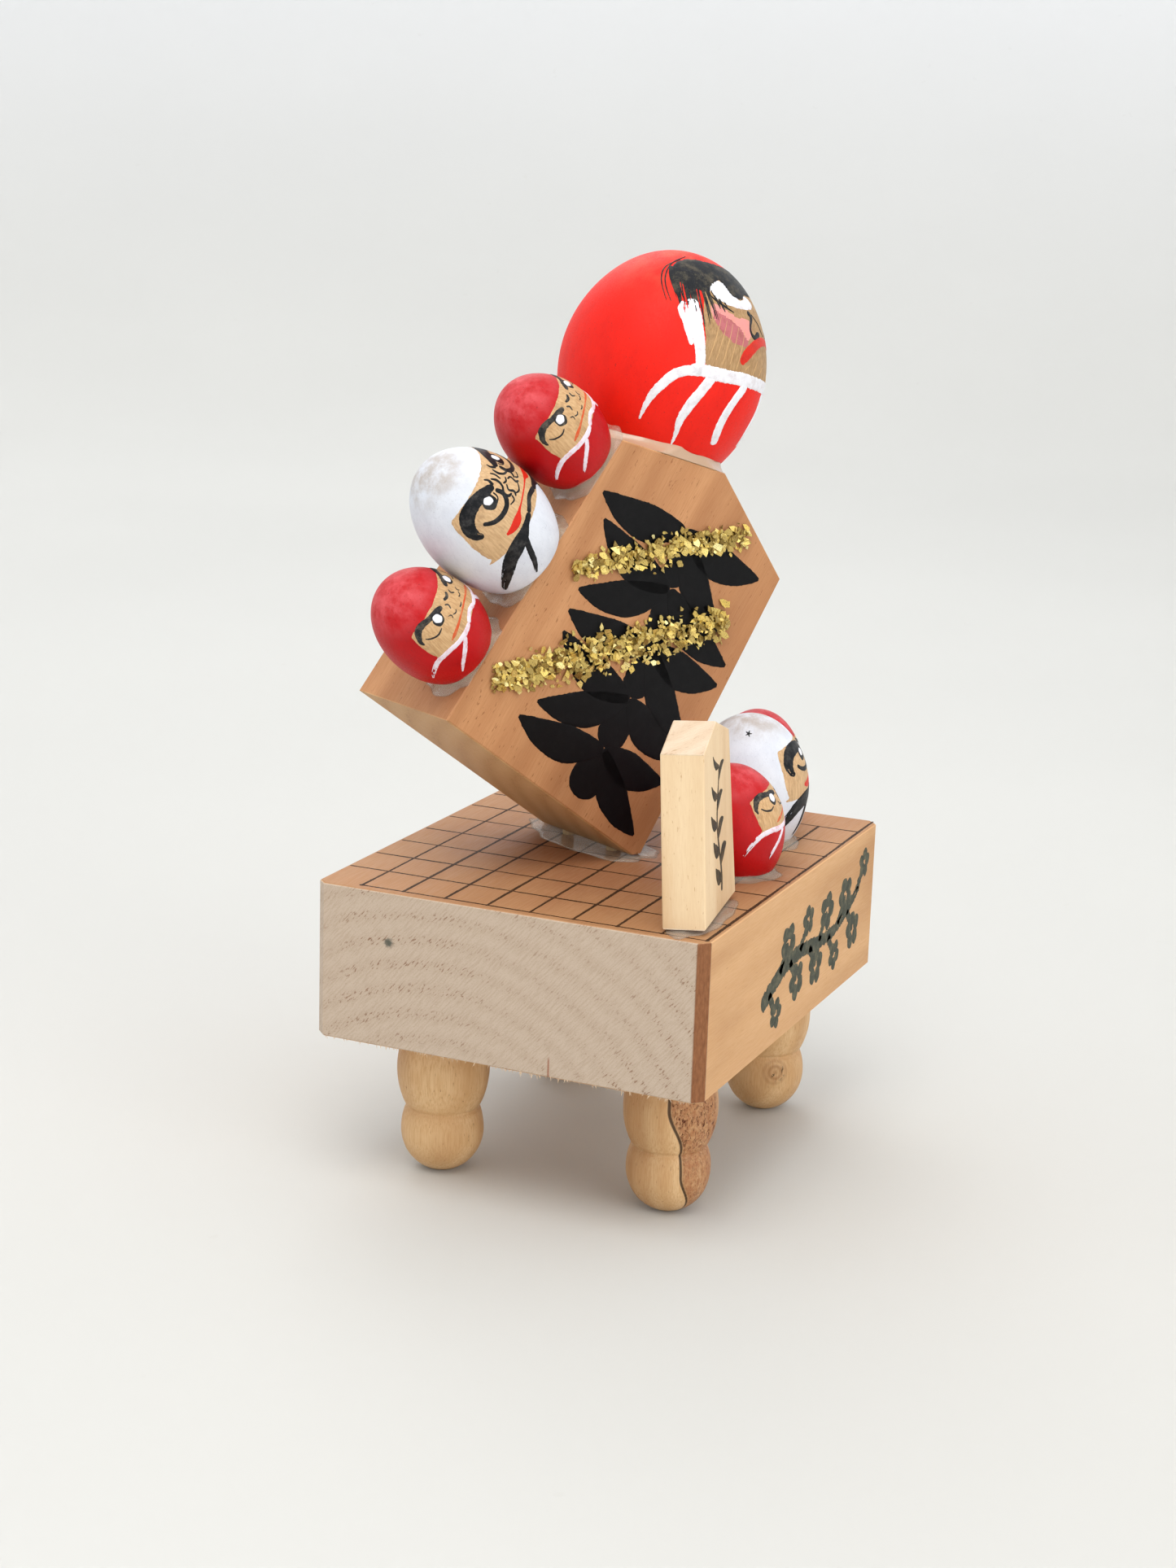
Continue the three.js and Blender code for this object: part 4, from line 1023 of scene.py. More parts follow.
red_lid = {
    "low": 0.06, "wide": 69, "top": 0.605, "eye": (31, 0.45), "iris": 1.5, "white": 1.05, "dry": 0.3,
    "brow": [(-15, 0.49, 1.1), (-24, 0.52, 1.5), (-36, 0.54, 1.3), (-50, 0.56, 1.5), (-60, 0.52, 1.6),
             (-65, 0.42, 1.1), (-64, 0.33, 0.4)],
    "lids": [
        [(-59, 0.4, 0.3), (-53, 0.345, 0.45), (-44, 0.315, 0.5), (-36, 0.345, 0.3)],
        [(-12, 0.47, 0.4), (-9, 0.42, 0.5), (-12, 0.36, 0.3)],
        [(-17, 0.31, 0.25), (-12, 0.275, 0.4), (-8, 0.3, 0.25)],
        [(-22, 0.36, 0.2), (-18, 0.32, 0.35), (-20, 0.27, 0.2)],
    ],
    "nose": [
        [(-7, 0.5, 0.6), (0, 0.47, 0.9), (7, 0.5, 0.6)],
        [(-4, 0.25, 0.25), (0, 0.235, 0.4), (4, 0.25, 0.25)],
    ],
    "mouth": [(-40, 0.1, 0.3), (-33, 0.125, 0.95), (-24, 0.155, 0.75), (-12, 0.185, 0.55), (0, 0.195, 0.55)],
    "robe": [
        [(-12, 0.01, 1.2), (-24, -0.01, 1.3), (-38, 0.0, 1.25), (-52, 0.02, 1.25), (-66, 0.0, 1.2),
         (-78, -0.1, 1.0), (-90, -0.26, 0.5)],
        [(-27, -0.04, 1.1), (-38, -0.18, 1.1), (-49, -0.31, 0.95), (-60, -0.47, 0.4)],
    ],
}

for name in ("daruma_slope_upper", "daruma_slope_lower", "daruma_board_near", "daruma_board_far"):
    egg = eggs[name]
    # The paler crown tone of the crimson coat is a painted highlight.
    coat = paint_coat(name + "_crimson", egg, CRIMSON, tint(228, 92, 98), tint(150, 2, 8),
                      wear_and_sheen=0.8, rough=0.46)
    egg_body(egg, coat)
    timber = face_timber(name + "_face_wood", egg, tint(214, 176, 128), tint(184, 140, 92))
    small_face(egg, pink_white, red_lid, timber, grey_marks, orange_marks)
for name in ("daruma_slope_middle", "daruma_board_middle"):
    egg = eggs[name]
    coat = paint_coat(name + "_white", egg, SNOW, tint(178, 162, 146), tint(196, 200, 212),
                      wear_and_sheen=0.7, speck=0.3, rough=0.5, wear_and_sheen_from=0.7)
    egg_body(egg, coat)
    timber = face_timber(name + "_face_wood", egg, tint(216, 180, 134), tint(188, 148, 104))
    small_face(egg, ink_marks, white_lid, timber, ink_marks, red_marks)

# the large egg
big = eggs["daruma_large"]
# The paler crown tone of the vermilion coat is a painted highlight.
big_coat = paint_coat("vermilion", big, VERMILION, tint(240, 88, 62), tint(210, 16, 4),
                      wear_and_sheen=0.6, speck=0.55, rough=0.52, wear_and_sheen_from=0.35)
egg_body(big, big_coat, rows=160, columns=260)
big_face_wood = face_timber("large_face_wood", big, tint(186, 148, 100), tint(150, 114, 72))
panel = Paint(big)
cheek = [(-40, 0.09), (-57, 0.08), (-61, 0.3), (-65, 0.55), (-62, 0.8), (-40, 0.9), (-12, 0.91)]
panel.patch(cheek + mirror(cheek)[::-1], lift=0.04, seed=1)
panel.make("daruma_large_face", big_face_wood)

cheeks = Paint(big)
both(cheeks.patch, [(-60, 0.59), (-50, 0.575), (-38, 0.545), (-26, 0.56), (-24, 0.48), (-28, 0.38),
                    (-33, 0.33), (-44, 0.36), (-54, 0.42), (-60, 0.5)], lift=0.06, rag=0.12, seed=4)
cheeks.make("daruma_large_cheeks", pink_marks)
blush = Paint(big)
both(blush.patch, [(-58, 0.53), (-50, 0.525), (-40, 0.49), (-32, 0.42), (-28, 0.37), (-33, 0.32),
                   (-42, 0.325), (-51, 0.38), (-57, 0.45)], lift=0.075, rag=0.2, seed=5)
blush.make("daruma_large_blush", mauve_marks)

beard = Paint(big)
for k, angle in enumerate((-56.5, -52, -47.5, -42.5, -37, -30, -22, -14, -6)):
    low, high = 0.12 + 0.02 * (k % 2), 0.5 - 0.012 * k if k < 5 else 0.26 - 0.03 * (k % 3)
    both(beard.stroke, [(angle, low, 0.22), (angle + 2, (low + high) / 2, 0.3), (angle + 4.5, high, 0.14)],
         lift=0.09, rag=0.04, seed=k)
scraped_wood = thin_paint("scraped_wood", tint(206, 166, 118), tint(180, 140, 96), 0.6, 0.5)
beard.make("daruma_large_beard_lines", scraped_wood)

hair = Paint(big)
crown = [(-60, 0.68), (-72, 0.66), (-84, 0.68), (-93, 0.75), (-95, 0.84), (-84, 0.905), (-60, 0.925),
         (-30, 0.93)]
fringe = [(0, 0.76), (-12, 0.755), (-22, 0.74), (-28, 0.7), (-38, 0.69), (-45, 0.74), (-52, 0.79)]
hair.patch(crown + mirror(crown)[::-1] + mirror(fringe)[::-1][:-1] + fringe, lift=0.1, rag=0.12, seed=6)
strands = random.Random(11)
for k in range(30):
    start = -96 + 36 * k / 29 + strands.uniform(-1, 1)
    long = 0.17 + 0.14 * math.sin(math.pi * k / 29) + strands.uniform(-0.05, 0.05)
    width = strands.uniform(0.25, 0.9)
    knots = [(start - 1, 0.8, width), (start + 3, 0.72, width), (start + 9, 0.72 - long * 0.55, width * 0.8),
             (start + 13, 0.72 - long, width * 0.3)]
    both(hair.stroke, knots, lift=0.12, rag=0.05, dry=(0.0, 0.5), blunt=(True, False), seed=k)
for start, top in ((-101, 0.83), (-98, 0.87)):
    both(hair.stroke, [(start + 8, top + 0.05, 0.25), (start, top - 0.04, 0.35), (start + 2, 0.68, 0.3),
                       (start + 12, 0.5, 0.15)], lift=0.1, rag=0.03, seed=int(-start))
ink_hair = thin_paint("ink_hair", tint(30, 32, 36), tint(96, 88, 72), 0.45, 0.85, 0.8)
hair.make("daruma_large_hair", ink_hair)

whites = Paint(big)
both(whites.patch, [(-62, 0.70), (-57, 0.765), (-51, 0.79), (-46, 0.765), (-41, 0.715), (-33, 0.69),
                    (-27, 0.705), (-22, 0.745), (-17, 0.735), (-12, 0.70), (-17, 0.655), (-29, 0.625),
                    (-44, 0.61), (-56, 0.635)], lift=0.17, rag=0.1, seed=7, steps=6)
whites.make("daruma_large_eye_whites", white_marks)

lines = Paint(big)
both(lines.stroke, [(-61, 0.645, 0.3), (-56, 0.615, 0.6), (-49, 0.59, 0.7), (-41, 0.565, 0.35)], lift=0.12,
     seed=8)
both(lines.stroke, [(-26, 0.62, 1.7), (-22, 0.585, 1.3), (-25, 0.52, 0.9), (-25.5, 0.46, 1.0),
                    (-21, 0.43, 1.3), (-16, 0.465, 1.6), (-13, 0.475, 0.7)], lift=0.12, seed=9)
both(lines.stroke, [(-21, 0.61, 0.35), (-13, 0.56, 0.45), (-8, 0.5, 0.4), (-5, 0.47, 0.3)], lift=0.12,
     seed=10)
lines.stroke([(-6, 0.45, 0.4), (0, 0.43, 0.7), (6, 0.45, 0.4)], lift=0.12, seed=12)
lines.make("daruma_large_lines", ink_marks)

lips = Paint(big)
curve = [(-34, 0.18, 1.5), (-31, 0.25, 2.6), (-25, 0.33, 2.7), (-17, 0.4, 2.4), (-8, 0.43, 2.0),
         (0, 0.435, 1.8)]
lips.stroke(curve + mirror(curve)[-2::-1], lift=0.14, rag=0.12, seed=13)
lips.make("daruma_large_mouth", red_marks)

robe = Paint(big)
both(robe.stroke, [(-60, 0.05, 2.2), (-63, 0.2, 2.5), (-67, 0.34, 3.1), (-71, 0.46, 3.6), (-74, 0.57, 3.0)],
     lift=0.15, rag=0.12, dry=(0.0, 0.5), seed=14)
both(robe.stroke, [(-68, 0.2, 1.0), (-74, 0.36, 1.4), (-79, 0.46, 1.3), (-79, 0.53, 0.8)], lift=0.14, rag=0.1,
     dry=(0.0, 0.3), seed=15)
collar = [(-66, 0.02, 2.2), (-54, 0.035, 2.9), (-44, 0.045, 3.0), (-32, 0.065, 2.9), (-18, 0.075, 2.9),
          (0, 0.08, 2.8)]
robe.stroke(collar + mirror(collar)[-2::-1], lift=0.15, rag=0.22, seed=16)
for knots in (
    [(-58, 0.02, 2.2), (-66, 0.0, 2.2), (-73, -0.06, 2.2), (-79, -0.18, 2.0), (-83, -0.3, 1.5),
     (-86, -0.47, 0.4)],
    [(-51, 0.03, 2.3), (-55, -0.1, 2.3), (-60, -0.27, 2.3), (-62, -0.4, 1.7), (-61, -0.52, 0.9),
     (-61, -0.6, 0.3)],
    [(-26, 0.04, 2.3), (-32, -0.12, 2.2), (-35, -0.28, 2.3), (-34, -0.4, 2.3), (-31, -0.5, 2.0)],
):
    both(robe.stroke, knots, lift=0.15, rag=0.12, dry=(0.0, 0.12), blunt=(True, knots[-1][2] > 1), seed=17)
robe.stroke([(0, 0.03, 2.2), (1, -0.12, 2.1), (0, -0.28, 2.2), (2, -0.44, 1.4)], lift=0.15, rag=0.12, seed=18)
robe.make("daruma_large_robe_lines", white_marks)

chip_spot = Paint(eggs["daruma_board_middle"])
for k in range(5):
    turn = 2 * math.pi * k / 5
    chip_spot.stroke([(-117, 0.858, 0.5), (-117 + 7 * math.cos(turn), 0.858 + 0.035 * math.sin(turn), 0.12)],
                     lift=0.05, seed=k, cell=0.12)
chip_spot.make("daruma_board_middle_chip", ink_marks)


# ------------------------------------------------------------------ glue
clear_glue = glue("clear_glue", tint(230, 210, 184), 0.08, 0.26)
cloudy_glue = glue("cloudy_glue", tint(218, 182, 150), 0.28, 0.8)


def bead(egg, material, spread, height, room, seed):
    """A fillet of glue round an egg's seat.

    room keeps it on its host face: (way of the seat, lowest, highest) in mm.
    """
    columns = 120
    around = np.linspace(0, 2 * math.pi, columns, endpoint=False)
    ring = egg.radius * math.sqrt(1 - (egg.depth / egg.half) ** 2)
    wave = 1 + 0.28 * np.sin(3 * around + seed) + 0.16 * np.sin(7 * around + 2 * seed)
    wave = wave + 0.1 * np.sin(13 * around)
    rows = []
    steps = 8
    for k in range(steps + 1):
        share = k / steps
        out = ring + spread * wave * (1 - share) ** 1.5 + 0.05
        rise = 0.05 + height * wave * share**1.4
        rows.append((out, rise))
    rows.append((np.full(columns, ring - 1.6), rows[-1][1]))
    rows.append((np.full(columns, ring - 1.6), np.full(columns, 0.05)))
    points = []
    for out, rise in rows:
        local = np.stack([out * np.cos(around), out * np.sin(around), rise * np.ones(columns)], 1)
        world = egg.seat.out(local)
        inside = (world - egg.centre) @ egg.axes
        reach = np.linalg.norm(inside / egg.size, axis=1)
        push = np.where((reach < 0.985) & (rise > egg.glue), 0.985 / reach, 1.0)
        local = egg.seat.into(egg.centre + (inside * push[:, None]) @ egg.axes.T)
        local[:, 2] = np.maximum(local[:, 2], 0.05)
        for axis, low, high in room:
            local[:, axis] = np.clip(local[:, axis], low, high)
        points.append(egg.seat.out(local))
    faces = grid_faces(len(rows), columns, wrap=True, close=True)
    piece("glue_" + egg.name[len("daruma_"):] + "_bead", np.concatenate(points), faces, material,
          replaces=["glue_" + egg.name])


half = PLAQUE_THICKNESS / 2 - 0.05
large_room = [(1, -half - LARGE_ACROSS, half - LARGE_ACROSS), (0, -20.5, 20.5)]
bead(big, cloudy_glue, 1.9, 2.6, large_room, 1.0)
for place, across in SLOPE_ACROSS.items():
    egg = eggs["daruma_slope_" + place]
    bead(egg, clear_glue, 1.9, 1.9, [(1, -half - across, half - across)], egg.seed)
for place in ("near", "middle", "far"):
    egg = eggs["daruma_board_" + place]
    start = egg.seat.origin[0]
    bead(egg, clear_glue, 2.0, 1.8, [(0, 0.3 - start, BOARD_LENGTH - 0.3 - start)], egg.seed)


def puddle(name, node, centre, x_way, size, height, seed, power=2.0):
    """A low pool of glue, rounded off at its rim, from a centre on the board."""
    columns, rows = 140, 16
    x_way = unit(np.array([x_way[0], x_way[1], 0.0]))
    y_way = np.array([-x_way[1], x_way[0], 0.0])
    around = np.linspace(0, 2 * math.pi, columns, endpoint=False)
    rim = 1 + 0.06 * np.sin(3 * around + seed) + 0.05 * np.sin(5 * around) + 0.03 * np.sin(11 * around + seed)
    points = [np.array([[centre[0], centre[1], BOARD_TOP + height]])]
    for k in range(1, rows + 1):
        share = k / rows
        x, y = size[0] * rim * np.cos(around) * share, size[1] * rim * np.sin(around) * share
        z = BOARD_TOP + 0.03 + height * (1 - share**power) ** 0.8
        z = z + 0.12 * height * (value_noise(x * 0.5 + 9, y * 0.5 + 9, seed) - 0.5) * (1 - share)
        spot = np.array([centre[0], centre[1], 0]) + x[:, None] * x_way + y[:, None] * y_way
        spot[:, 2] = z
        points.append(spot)
    faces = disc_faces(rows, columns)
    faces.append(tuple(1 + (rows - 1) * columns + c for c in reversed(range(columns))))
    piece(name, np.concatenate(points), faces, clear_glue, replaces=[node])


edge_way = plaque_axes @ np.array([0, 1, 0])
edge_way = unit([edge_way[0], edge_way[1], 0])
puddle("glue_plaque_foot_pool", "glue_plaque_foot", PLAQUE_FOOT, (edge_way[1], -edge_way[0]),
       (POOL["width"] / 2 - 1.5, PLAQUE_THICKNESS / 2 + POOL["overrun"] - 1), 1.9, 3, 1.3)
small_way = SMALL.axes @ np.array([1, 0, 0])
puddle("glue_plaque_small_pool", "glue_plaque_small", SMALL_PLACE, small_way,
       (SMALL_BASE / 2 + 2.0, SMALL_THICKNESS / 2 + 2.2), 1.0, 5, 4.0)

# ------------------------------------------------------------------ printed lines and brush motifs
grid_ink = thin_paint("grid_ink", tint(58, 38, 22), tint(112, 76, 46), 0.6, 0.5)
top_chart = Flat([0, 0, BOARD_TOP], [1, 0, 0], [0, 1, 0])
grid = Paint(top_chart)
grid_end = [GRID_START[i] + GRID_CELLS * GRID_PITCH[i] for i in (0, 1)]
GRID_WIDTHS, GRID_WOBBLE, GRID_MARGIN = (0.66, 0.6), 0.06, 0.6
wobble = random.Random(5)


def ruled(start, end, width, seed):
    """A ruled line, slightly unsteady in its way and its width."""
    steps = 7
    knots = []
    for k in range(steps + 1):
        spot = [a + (b - a) * k / steps for a, b in zip(start, end)]
        x, y = (a + wobble.uniform(-GRID_WOBBLE, GRID_WOBBLE) for a in spot)
        knots.append((x, y, width * wobble.uniform(0.8, 1.25)))
    grid.stroke(knots, lift=0.03, cell=0.24, rag=0.09, dry=(0.12, 0.12), seed=seed)


for j in range(GRID_CELLS + 1):
    y = GRID_START[1] + GRID_PITCH[1] * j
    ruled((GRID_START[0], y), (BOARD_LENGTH - GRID_MARGIN if j == 0 else grid_end[0], y), GRID_WIDTHS[0], j)
for i in range(GRID_CELLS + 1):
    x = GRID_START[0] + GRID_PITCH[0] * i
    ruled((x, GRID_START[1]), (x, grid_end[1] if i == 0 else BOARD_WIDTH - GRID_MARGIN),
          GRID_WIDTHS[1], 20 + i)
for i in range(GRID_CELLS + 1):
    for j in range(GRID_CELLS + 1):
        grid.dab(GRID_START[0] + GRID_PITCH[0] * i, GRID_START[1] + GRID_PITCH[1] * j,
                 wobble.uniform(0.42, 0.66), lift=0.045, rings=2, columns=12, seed=i + j)
grid.make("board_grid_lines", grid_ink)

front_chart = Flat(PLAQUE.out([0, -PLAQUE_THICKNESS / 2, 0]), plaque_axes[:, 0], plaque_axes[:, 2])
bamboo = Paint(front_chart)
STALK_FOOT, STALK_TOP, STALK_BOW = np.array([8.0, 3.0]), np.array([-2.0, 66.0]), 4.0
STALK_SECTIONS, STALK_WIDTH, STALK_TAPER = 5, 12.0, 5.0
LEAF_LENGTH, LEAF_WIDTH, LEAF_ROOM = 26.0, 8.5, 28.5
LEAFY_SIDE, OTHER_SIDE = (-6, 30), (12,)


def leaf(paint, root, tip, width, bow=0.1, dry=0.25, seed=0, lift=0.1, cell=0.35, rag=0.12):
    """A brushed leaf: thin at its root, full in the middle and drawn out to a point."""
    root, tip = np.array(root, float), np.array(tip, float)
    way = tip - root
    side = np.array([-way[1], way[0]]) * bow
    knots = []
    for share, wide in ((0, 0.25), (0.18, 0.72), (0.42, 1.0), (0.68, 0.8), (0.88, 0.42), (1.0, 0.08)):
        spot = root + way * share + side * math.sin(math.pi * share)
        knots.append((spot[0], spot[1], width * wide))
    paint.stroke(knots, lift=lift, cell=cell, rag=rag, dry=(0.0, dry), blunt=(True, False), seed=seed)


def on_stalk(share):
    """A point of the bamboo's stalk, which leans and bows a little."""
    bow = np.array([STALK_BOW * math.sin(math.pi * share), 0])
    return STALK_FOOT + (STALK_TOP - STALK_FOOT) * share + bow


def leaf_fan(share, side, droops):
    """Leaves that spread from one joint of the stalk, each at its own droop in degrees.

    A leaf is cut short where it would pass the plaque's side or foot.
    """
    root = on_stalk(share)
    room = LEAF_ROOM - side * root[0]
    fall = root[1] - STALK_FOOT[1]
    for droop in droops:
        turn = math.radians(droop)
        length = min(LEAF_LENGTH, room / math.cos(turn), fall / max(0.1, math.sin(turn)))
        tip = root + length * np.array([side * math.cos(turn), -math.sin(turn)])
        leaf(bamboo, root, tip, LEAF_WIDTH, -0.08 * side, 0.1, seed=int(30 + droop))


for k in range(STALK_SECTIONS):
    knots = []
    for along, flare in ((0.03, 1.1), (0.5, 0.85), (0.97, 1.1)):
        share = (k + along) / STALK_SECTIONS
        knots.append((*on_stalk(share), (STALK_WIDTH - STALK_TAPER * share) * flare))
    bamboo.stroke(knots, lift=0.08, cell=0.4, rag=0.22, dry=(0.0, 0.12), seed=k)
for joint in range(1, STALK_SECTIONS + 1):
    leafy = 1 if joint % 2 else -1
    leaf_fan(joint / STALK_SECTIONS, leafy, LEAFY_SIDE)
    leaf_fan(joint / STALK_SECTIONS, -leafy, OTHER_SIDE)
bamboo.make("plaque_bamboo_motif", thin_paint("ink_bamboo", tint(6, 6, 8), tint(20, 19, 20), 0.5, 0.5))

side_chart = Flat([0, 0, BOARD_TOP], [1, 0, 0], [0, 0, 1])
sprig = Paint(side_chart)
sprig_ink = thin_paint("sprig_ink", tint(66, 70, 60), tint(122, 116, 92), 0.6, 0.7, 0.8)
BRANCH_START, BRANCH_END, BRANCH_WAVE = np.array([34.0, -24.0]), np.array([98.0, -13.0]), 3.0
BRANCH_WIDTH, BRANCH_TAPER = 4.4, 2.0
TWIGS, TWIG_REACH = 10, (5.0, 6.0)
BLOSSOM, SMALL_BLOSSOM, PETALS = 2.4, 1.9, 5


def on_branch(share):
    """A point of the blossoming branch, which waves once on its way."""
    wave = np.array([0, BRANCH_WAVE * math.sin(2 * math.pi * share)])
    return BRANCH_START + (BRANCH_END - BRANCH_START) * share + wave


branch = [(*on_branch(k / 8), BRANCH_WIDTH - BRANCH_TAPER * k / 8) for k in range(9)]
sprig.stroke(branch, lift=0.05, cell=0.3, rag=0.5, dry=(0.1, 0.3), seed=2)
for k in range(TWIGS):
    root = on_branch((k + 0.7) / TWIGS)
    up = 1 if k % 2 else -1
    tip = root + np.array([TWIG_REACH[0], up * TWIG_REACH[1]])
    sprig.stroke([(*root, 2.6), (*((root + tip) / 2), 2.2), (*tip, 1.6)], lift=0.05, cell=0.3, rag=0.4,
                 dry=(0.1, 0.2), seed=40 + k)
    size = BLOSSOM if k % 3 else SMALL_BLOSSOM
    for petal in range(PETALS):
        turn = 2 * math.pi * petal / PETALS + k
        sprig.dab(tip[0] + 1.15 * size * math.cos(turn), tip[1] + 1.15 * size * math.sin(turn), 0.8 * size,
                  lift=0.05, rings=3, columns=20, seed=k + petal)
sprig.make("board_sprig_motif", sprig_ink)

small_chart = Flat(SMALL.out([0, -SMALL_THICKNESS / 2, 0]), SMALL.axes[:, 0], SMALL.axes[:, 2])
vine = Paint(small_chart)
vine_stem = [(1.6 * math.sin(0.24 * z), z, 1.7 - 0.03 * z) for z in range(4, 32, 3)]
vine.stroke(vine_stem, lift=0.06, rag=0.1, dry=(0.1, 0.2), seed=1)
for k, (x, z, width) in enumerate(vine_stem[1:]):
    side = 1 if k % 2 else -1
    leaf(vine, (x, z), (x + 5.6 * side, z + 3.2), 2.2 * width, 0.15, 0.2, seed=60 + k, lift=0.07, cell=0.15,
         rag=0.06)
vine.make("plaque_small_vine_motif", thin_paint("vine_ink", tint(44, 36, 22), tint(110, 84, 50), 0.5, 0.8))


# ------------------------------------------------------------------ gold flakes
def flake_band(name, node, start, end, width, count, seed):
    """A band of small broken chips of leaf, thrown on in layers and thinning towards its rim."""
    draw = random.Random(seed)
    start, end = np.array(start, float), np.array(end, float)
    way = end - start
    long = np.linalg.norm(way)
    ahead, side = way / long, np.array([-way[1], way[0]]) / long
    points, faces = [], []
    for _ in range(count):
        share = draw.uniform(-0.01, 1.01)
        bulge = 0.75 + 0.25 * math.sin(math.pi * share) + 0.22 * (value_noise(share * 9, 2, seed) - 0.5)
        off = max(-1.25, min(1.25, draw.gauss(0, 0.46))) * width / 2 * bulge
        spot = start + ahead * share * long + side * off
        size = draw.uniform(0.45, 1.35) * (1.0 if draw.random() < 0.75 else 0.6)
        corners = draw.randint(3, 6)
        turn = draw.uniform(0, 2 * math.pi)
        layer = draw.random() ** 1.6 * 1.1 * max(0.15, 1 - abs(off) / (0.62 * width))
        slope = (draw.uniform(-0.5, 0.5), draw.uniform(-0.5, 0.5))
        thick = draw.uniform(0.07, 0.16)
        ring = []
        for c in range(corners):
            angle = turn + 2 * math.pi * (c + draw.uniform(-0.3, 0.3)) / corners
            reach = size * draw.uniform(0.6, 1.15)
            x, y = reach * math.cos(angle), reach * 0.8 * math.sin(angle)
            ring.append((spot[0] + x, spot[1] + y, x * slope[0] + y * slope[1]))
        drop = min(p[2] for p in ring)
        first = len(points)
        for rise in (0.0, thick):
            for x, y, z in ring:
                points.append(front_chart.origin + x * front_chart.u + y * front_chart.v
                              + (0.1 + layer + z - drop + rise) * front_chart.out)
        faces.append(tuple(first + corners + c for c in range(corners)))
        faces.append(tuple(first + c for c in reversed(range(corners))))
        for c in range(corners):
            d = (c + 1) % corners
            faces.append((first + c, first + d, first + corners + d, first + corners + c))
    piece(name, points, faces, gold, smooth=False, replaces=[node])


gold = flakes()
flake_band("flake_band_upper_chips", "flake_band_upper", (-24, 43.4), (14, 74.6), 6.8, 620, 3)
flake_band("flake_band_lower_chips", "flake_band_lower", (-28, 13.2), (20.4, 55.6), 9.2, 980, 4)

# ------------------------------------------------------------------ splinters on the sawn end
SPLINTERS = 150
splinter_wood = wood("splinter_wood", BOARD, (tint(176, 140, 104), tint(206, 176, 142), tint(226, 202, 172)),
                     (50.0, 14.0), axes=board_axes)
draw = random.Random(21)
points, faces = [], []
for _ in range(SPLINTERS):
    y = draw.uniform(1.5, BOARD_WIDTH - 2)
    length = draw.uniform(0.3, 1.1) * (1.6 if draw.random() < 0.08 else 1)
    wide = draw.uniform(0.08, 0.2)
    root = np.array([draw.uniform(0.05, 0.5), y, BOARD_BOTTOM + draw.uniform(0.1, 0.5)])
    tip = root + np.array([-draw.uniform(0.0, 0.35), draw.uniform(-0.6, 0.6), -length])
    first = len(points)
    points += [root + [0, -wide, 0], root + [0, wide, 0], root + [1.2 * wide, 0, wide], tip]
    faces += [(first, first + 1, first + 3), (first + 1, first + 2, first + 3), (first + 2, first, first + 3),
              (first, first + 2, first + 1)]
piece("board_end_splinters", points, faces, splinter_wood, smooth=False)

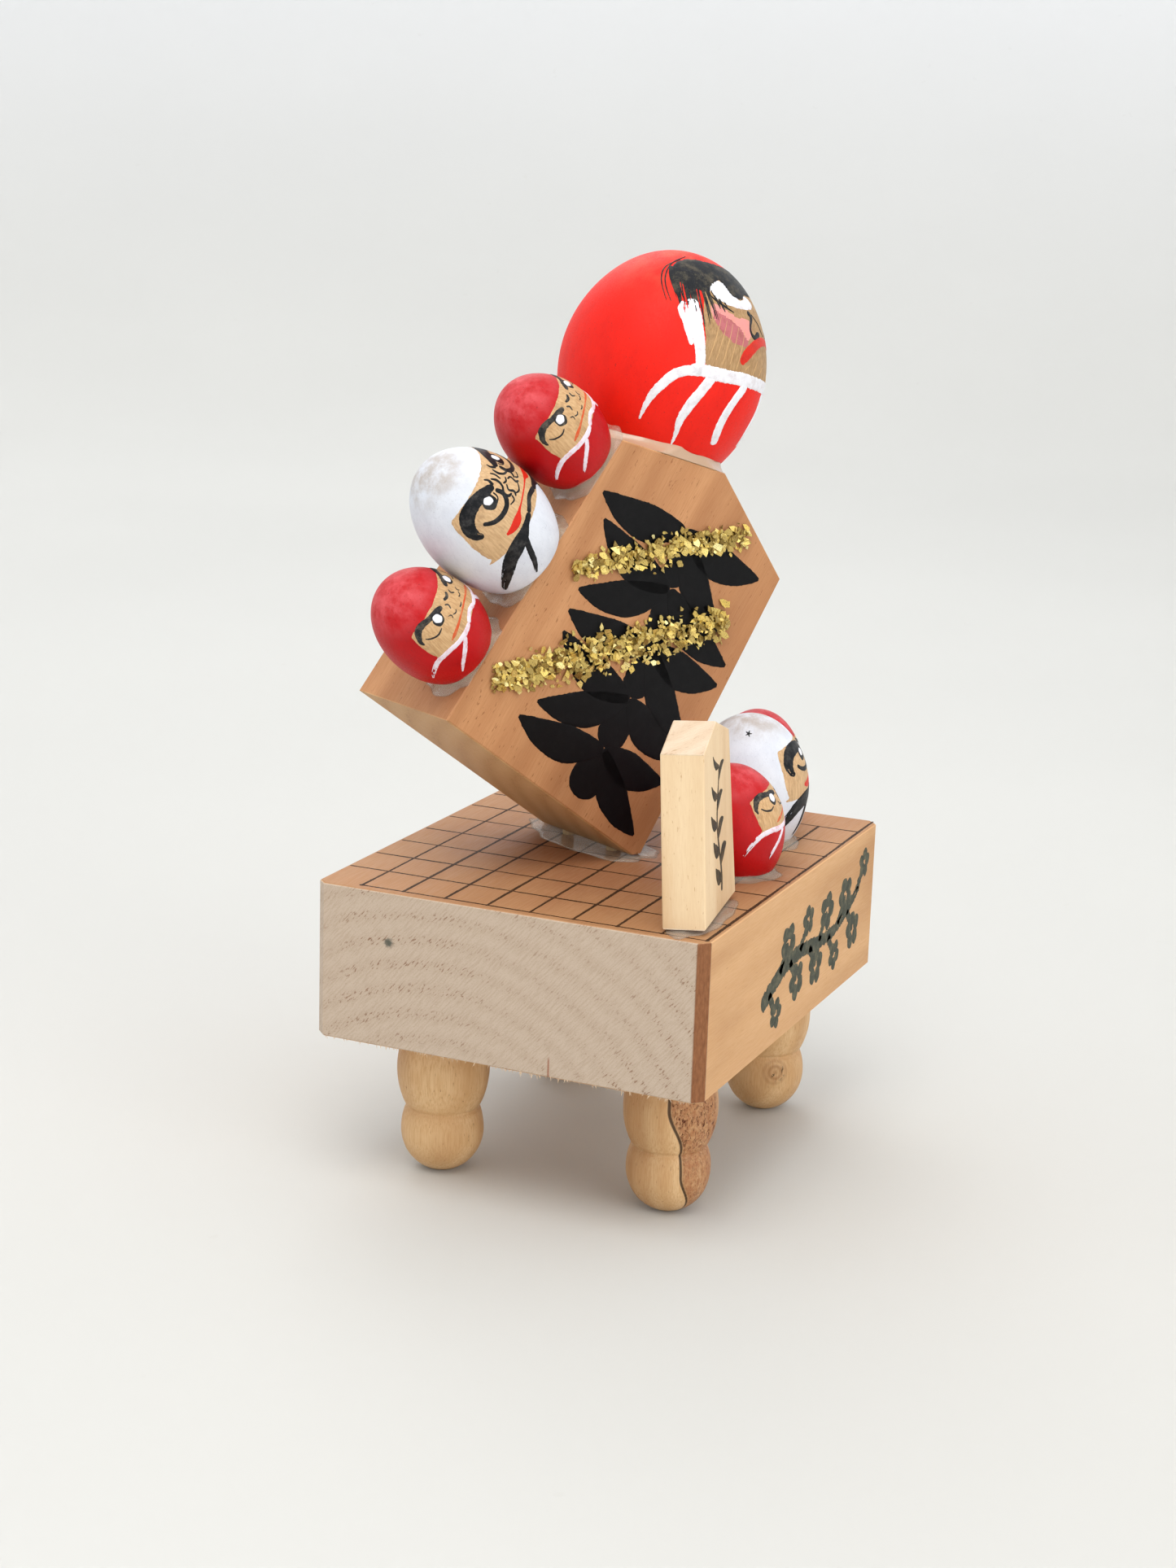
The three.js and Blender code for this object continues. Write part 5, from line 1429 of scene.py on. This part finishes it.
# ------------------------------------------------------------------ stage, light and camera
def stage_bowl():
    """A pale floor that turns up into a round wall far behind, the same from every side; its paper is painted
    darker on the floor and paler going up the wall, as painted shade and light.
    """
    radius, fillet, wall = 2.0, 0.9, 1.6
    profile = [(r, 0.0) for r in (0.05, 0.15, 0.4, 0.8, radius - fillet)]
    for k in range(1, 13):
        turn = math.pi / 2 * k / 12
        profile.append((radius - fillet + fillet * math.sin(turn), fillet * (1 - math.cos(turn))))
    profile.append((radius, fillet + wall))
    columns = 96
    around = np.linspace(0, 2 * math.pi, columns, endpoint=False)
    points = [(r * math.cos(a), r * math.sin(a), z) for r, z in profile for a in around]
    mesh = bpy.data.meshes.new("backdrop")
    faces = [f[::-1] for f in grid_faces(len(profile), columns, wrap=True)]
    mesh.from_pydata(points, [], faces + [tuple(range(columns))])
    mesh.polygons.foreach_set("use_smooth", [True] * len(mesh.polygons))
    g = Graph("backdrop_paper")
    here = g.put("TexCoord").outputs["Object"]
    cloud = g.noise(here, 1.6, 3.0, 0.5)
    speck = g.band(g.noise(here, 90.0, 2.0, 0.5), 0.74, 0.78)
    # Painted shade and light: a darker paper tone on the floor, turning to near white up the wall.
    floor = g.mix(g.band(cloud, 0.3, 0.7), tint(210, 209, 204), tint(205, 204, 199))
    colour = g.mix(g.band(g.split(here)[2], 0.0, 0.6), floor, tint(252, 253, 255))
    g.set(Base_Color=g.over(colour, tint(170, 160, 146), speck, 0.05), Roughness=0.85)
    mesh.materials.append(g.material)
    thing = bpy.data.objects.new("backdrop", mesh)
    bpy.context.scene.collection.objects.link(thing)


stage_bowl()


def area_light(name, place, target, size, power, colour):
    light = bpy.data.lights.new(name, "AREA")
    light.shape, light.size, light.energy, light.color = "DISK", size, power, colour
    thing = bpy.data.objects.new(name, light)
    thing.location = place
    thing.rotation_euler = (Vector(target) - Vector(place)).to_track_quat("-Z", "Y").to_euler()
    bpy.context.scene.collection.objects.link(thing)


middle = (cad_low + cad_high) / 2
area_light("key", (-0.5, -0.1, 1.15), middle, 0.7, 4.7, (1.0, 0.98, 0.945))
area_light("fill", (-0.45, -1.0, 0.4), middle, 0.9, 3.3, (1.0, 0.97, 0.93))
area_light("back", (0.9, 0.7, 1.1), middle, 0.9, 4.2, (0.96, 0.98, 1.0))

SKY, SKY_STRENGTH = (0.97, 0.982, 1.0, 1), 1.17
world = bpy.data.worlds.new("studio")
world.use_nodes = True
world.node_tree.nodes["Background"].inputs[0].default_value = SKY
world.node_tree.nodes["Background"].inputs[1].default_value = SKY_STRENGTH
bpy.context.scene.world = world
bpy.context.scene.view_settings.view_transform = "Standard"

SENSOR, LENS = 36.0, 64.04
CAMERA_PLACE = (-562.3, -239.35, 241.7)
CAMERA_SIDE, CAMERA_RISE, CAMERA_ROLL = -156.42, 14.404, 1.844
camera_data = bpy.data.cameras.new("camera")
camera_data.sensor_width = SENSOR
camera_data.lens = LENS
camera_data.clip_start = 0.01
camera = bpy.data.objects.new("camera", camera_data)
camera.matrix_world = (
    Matrix.Translation(Vector(CAMERA_PLACE) * MM)
    @ Matrix.Rotation(math.radians(CAMERA_SIDE + 90), 4, "Z")
    @ Matrix.Rotation(math.radians(90 - CAMERA_RISE), 4, "X")
    @ Matrix.Rotation(math.radians(CAMERA_ROLL), 4, "Z")
)
bpy.context.scene.collection.objects.link(camera)
bpy.context.scene.camera = camera

bpy.context.view_layer.update()
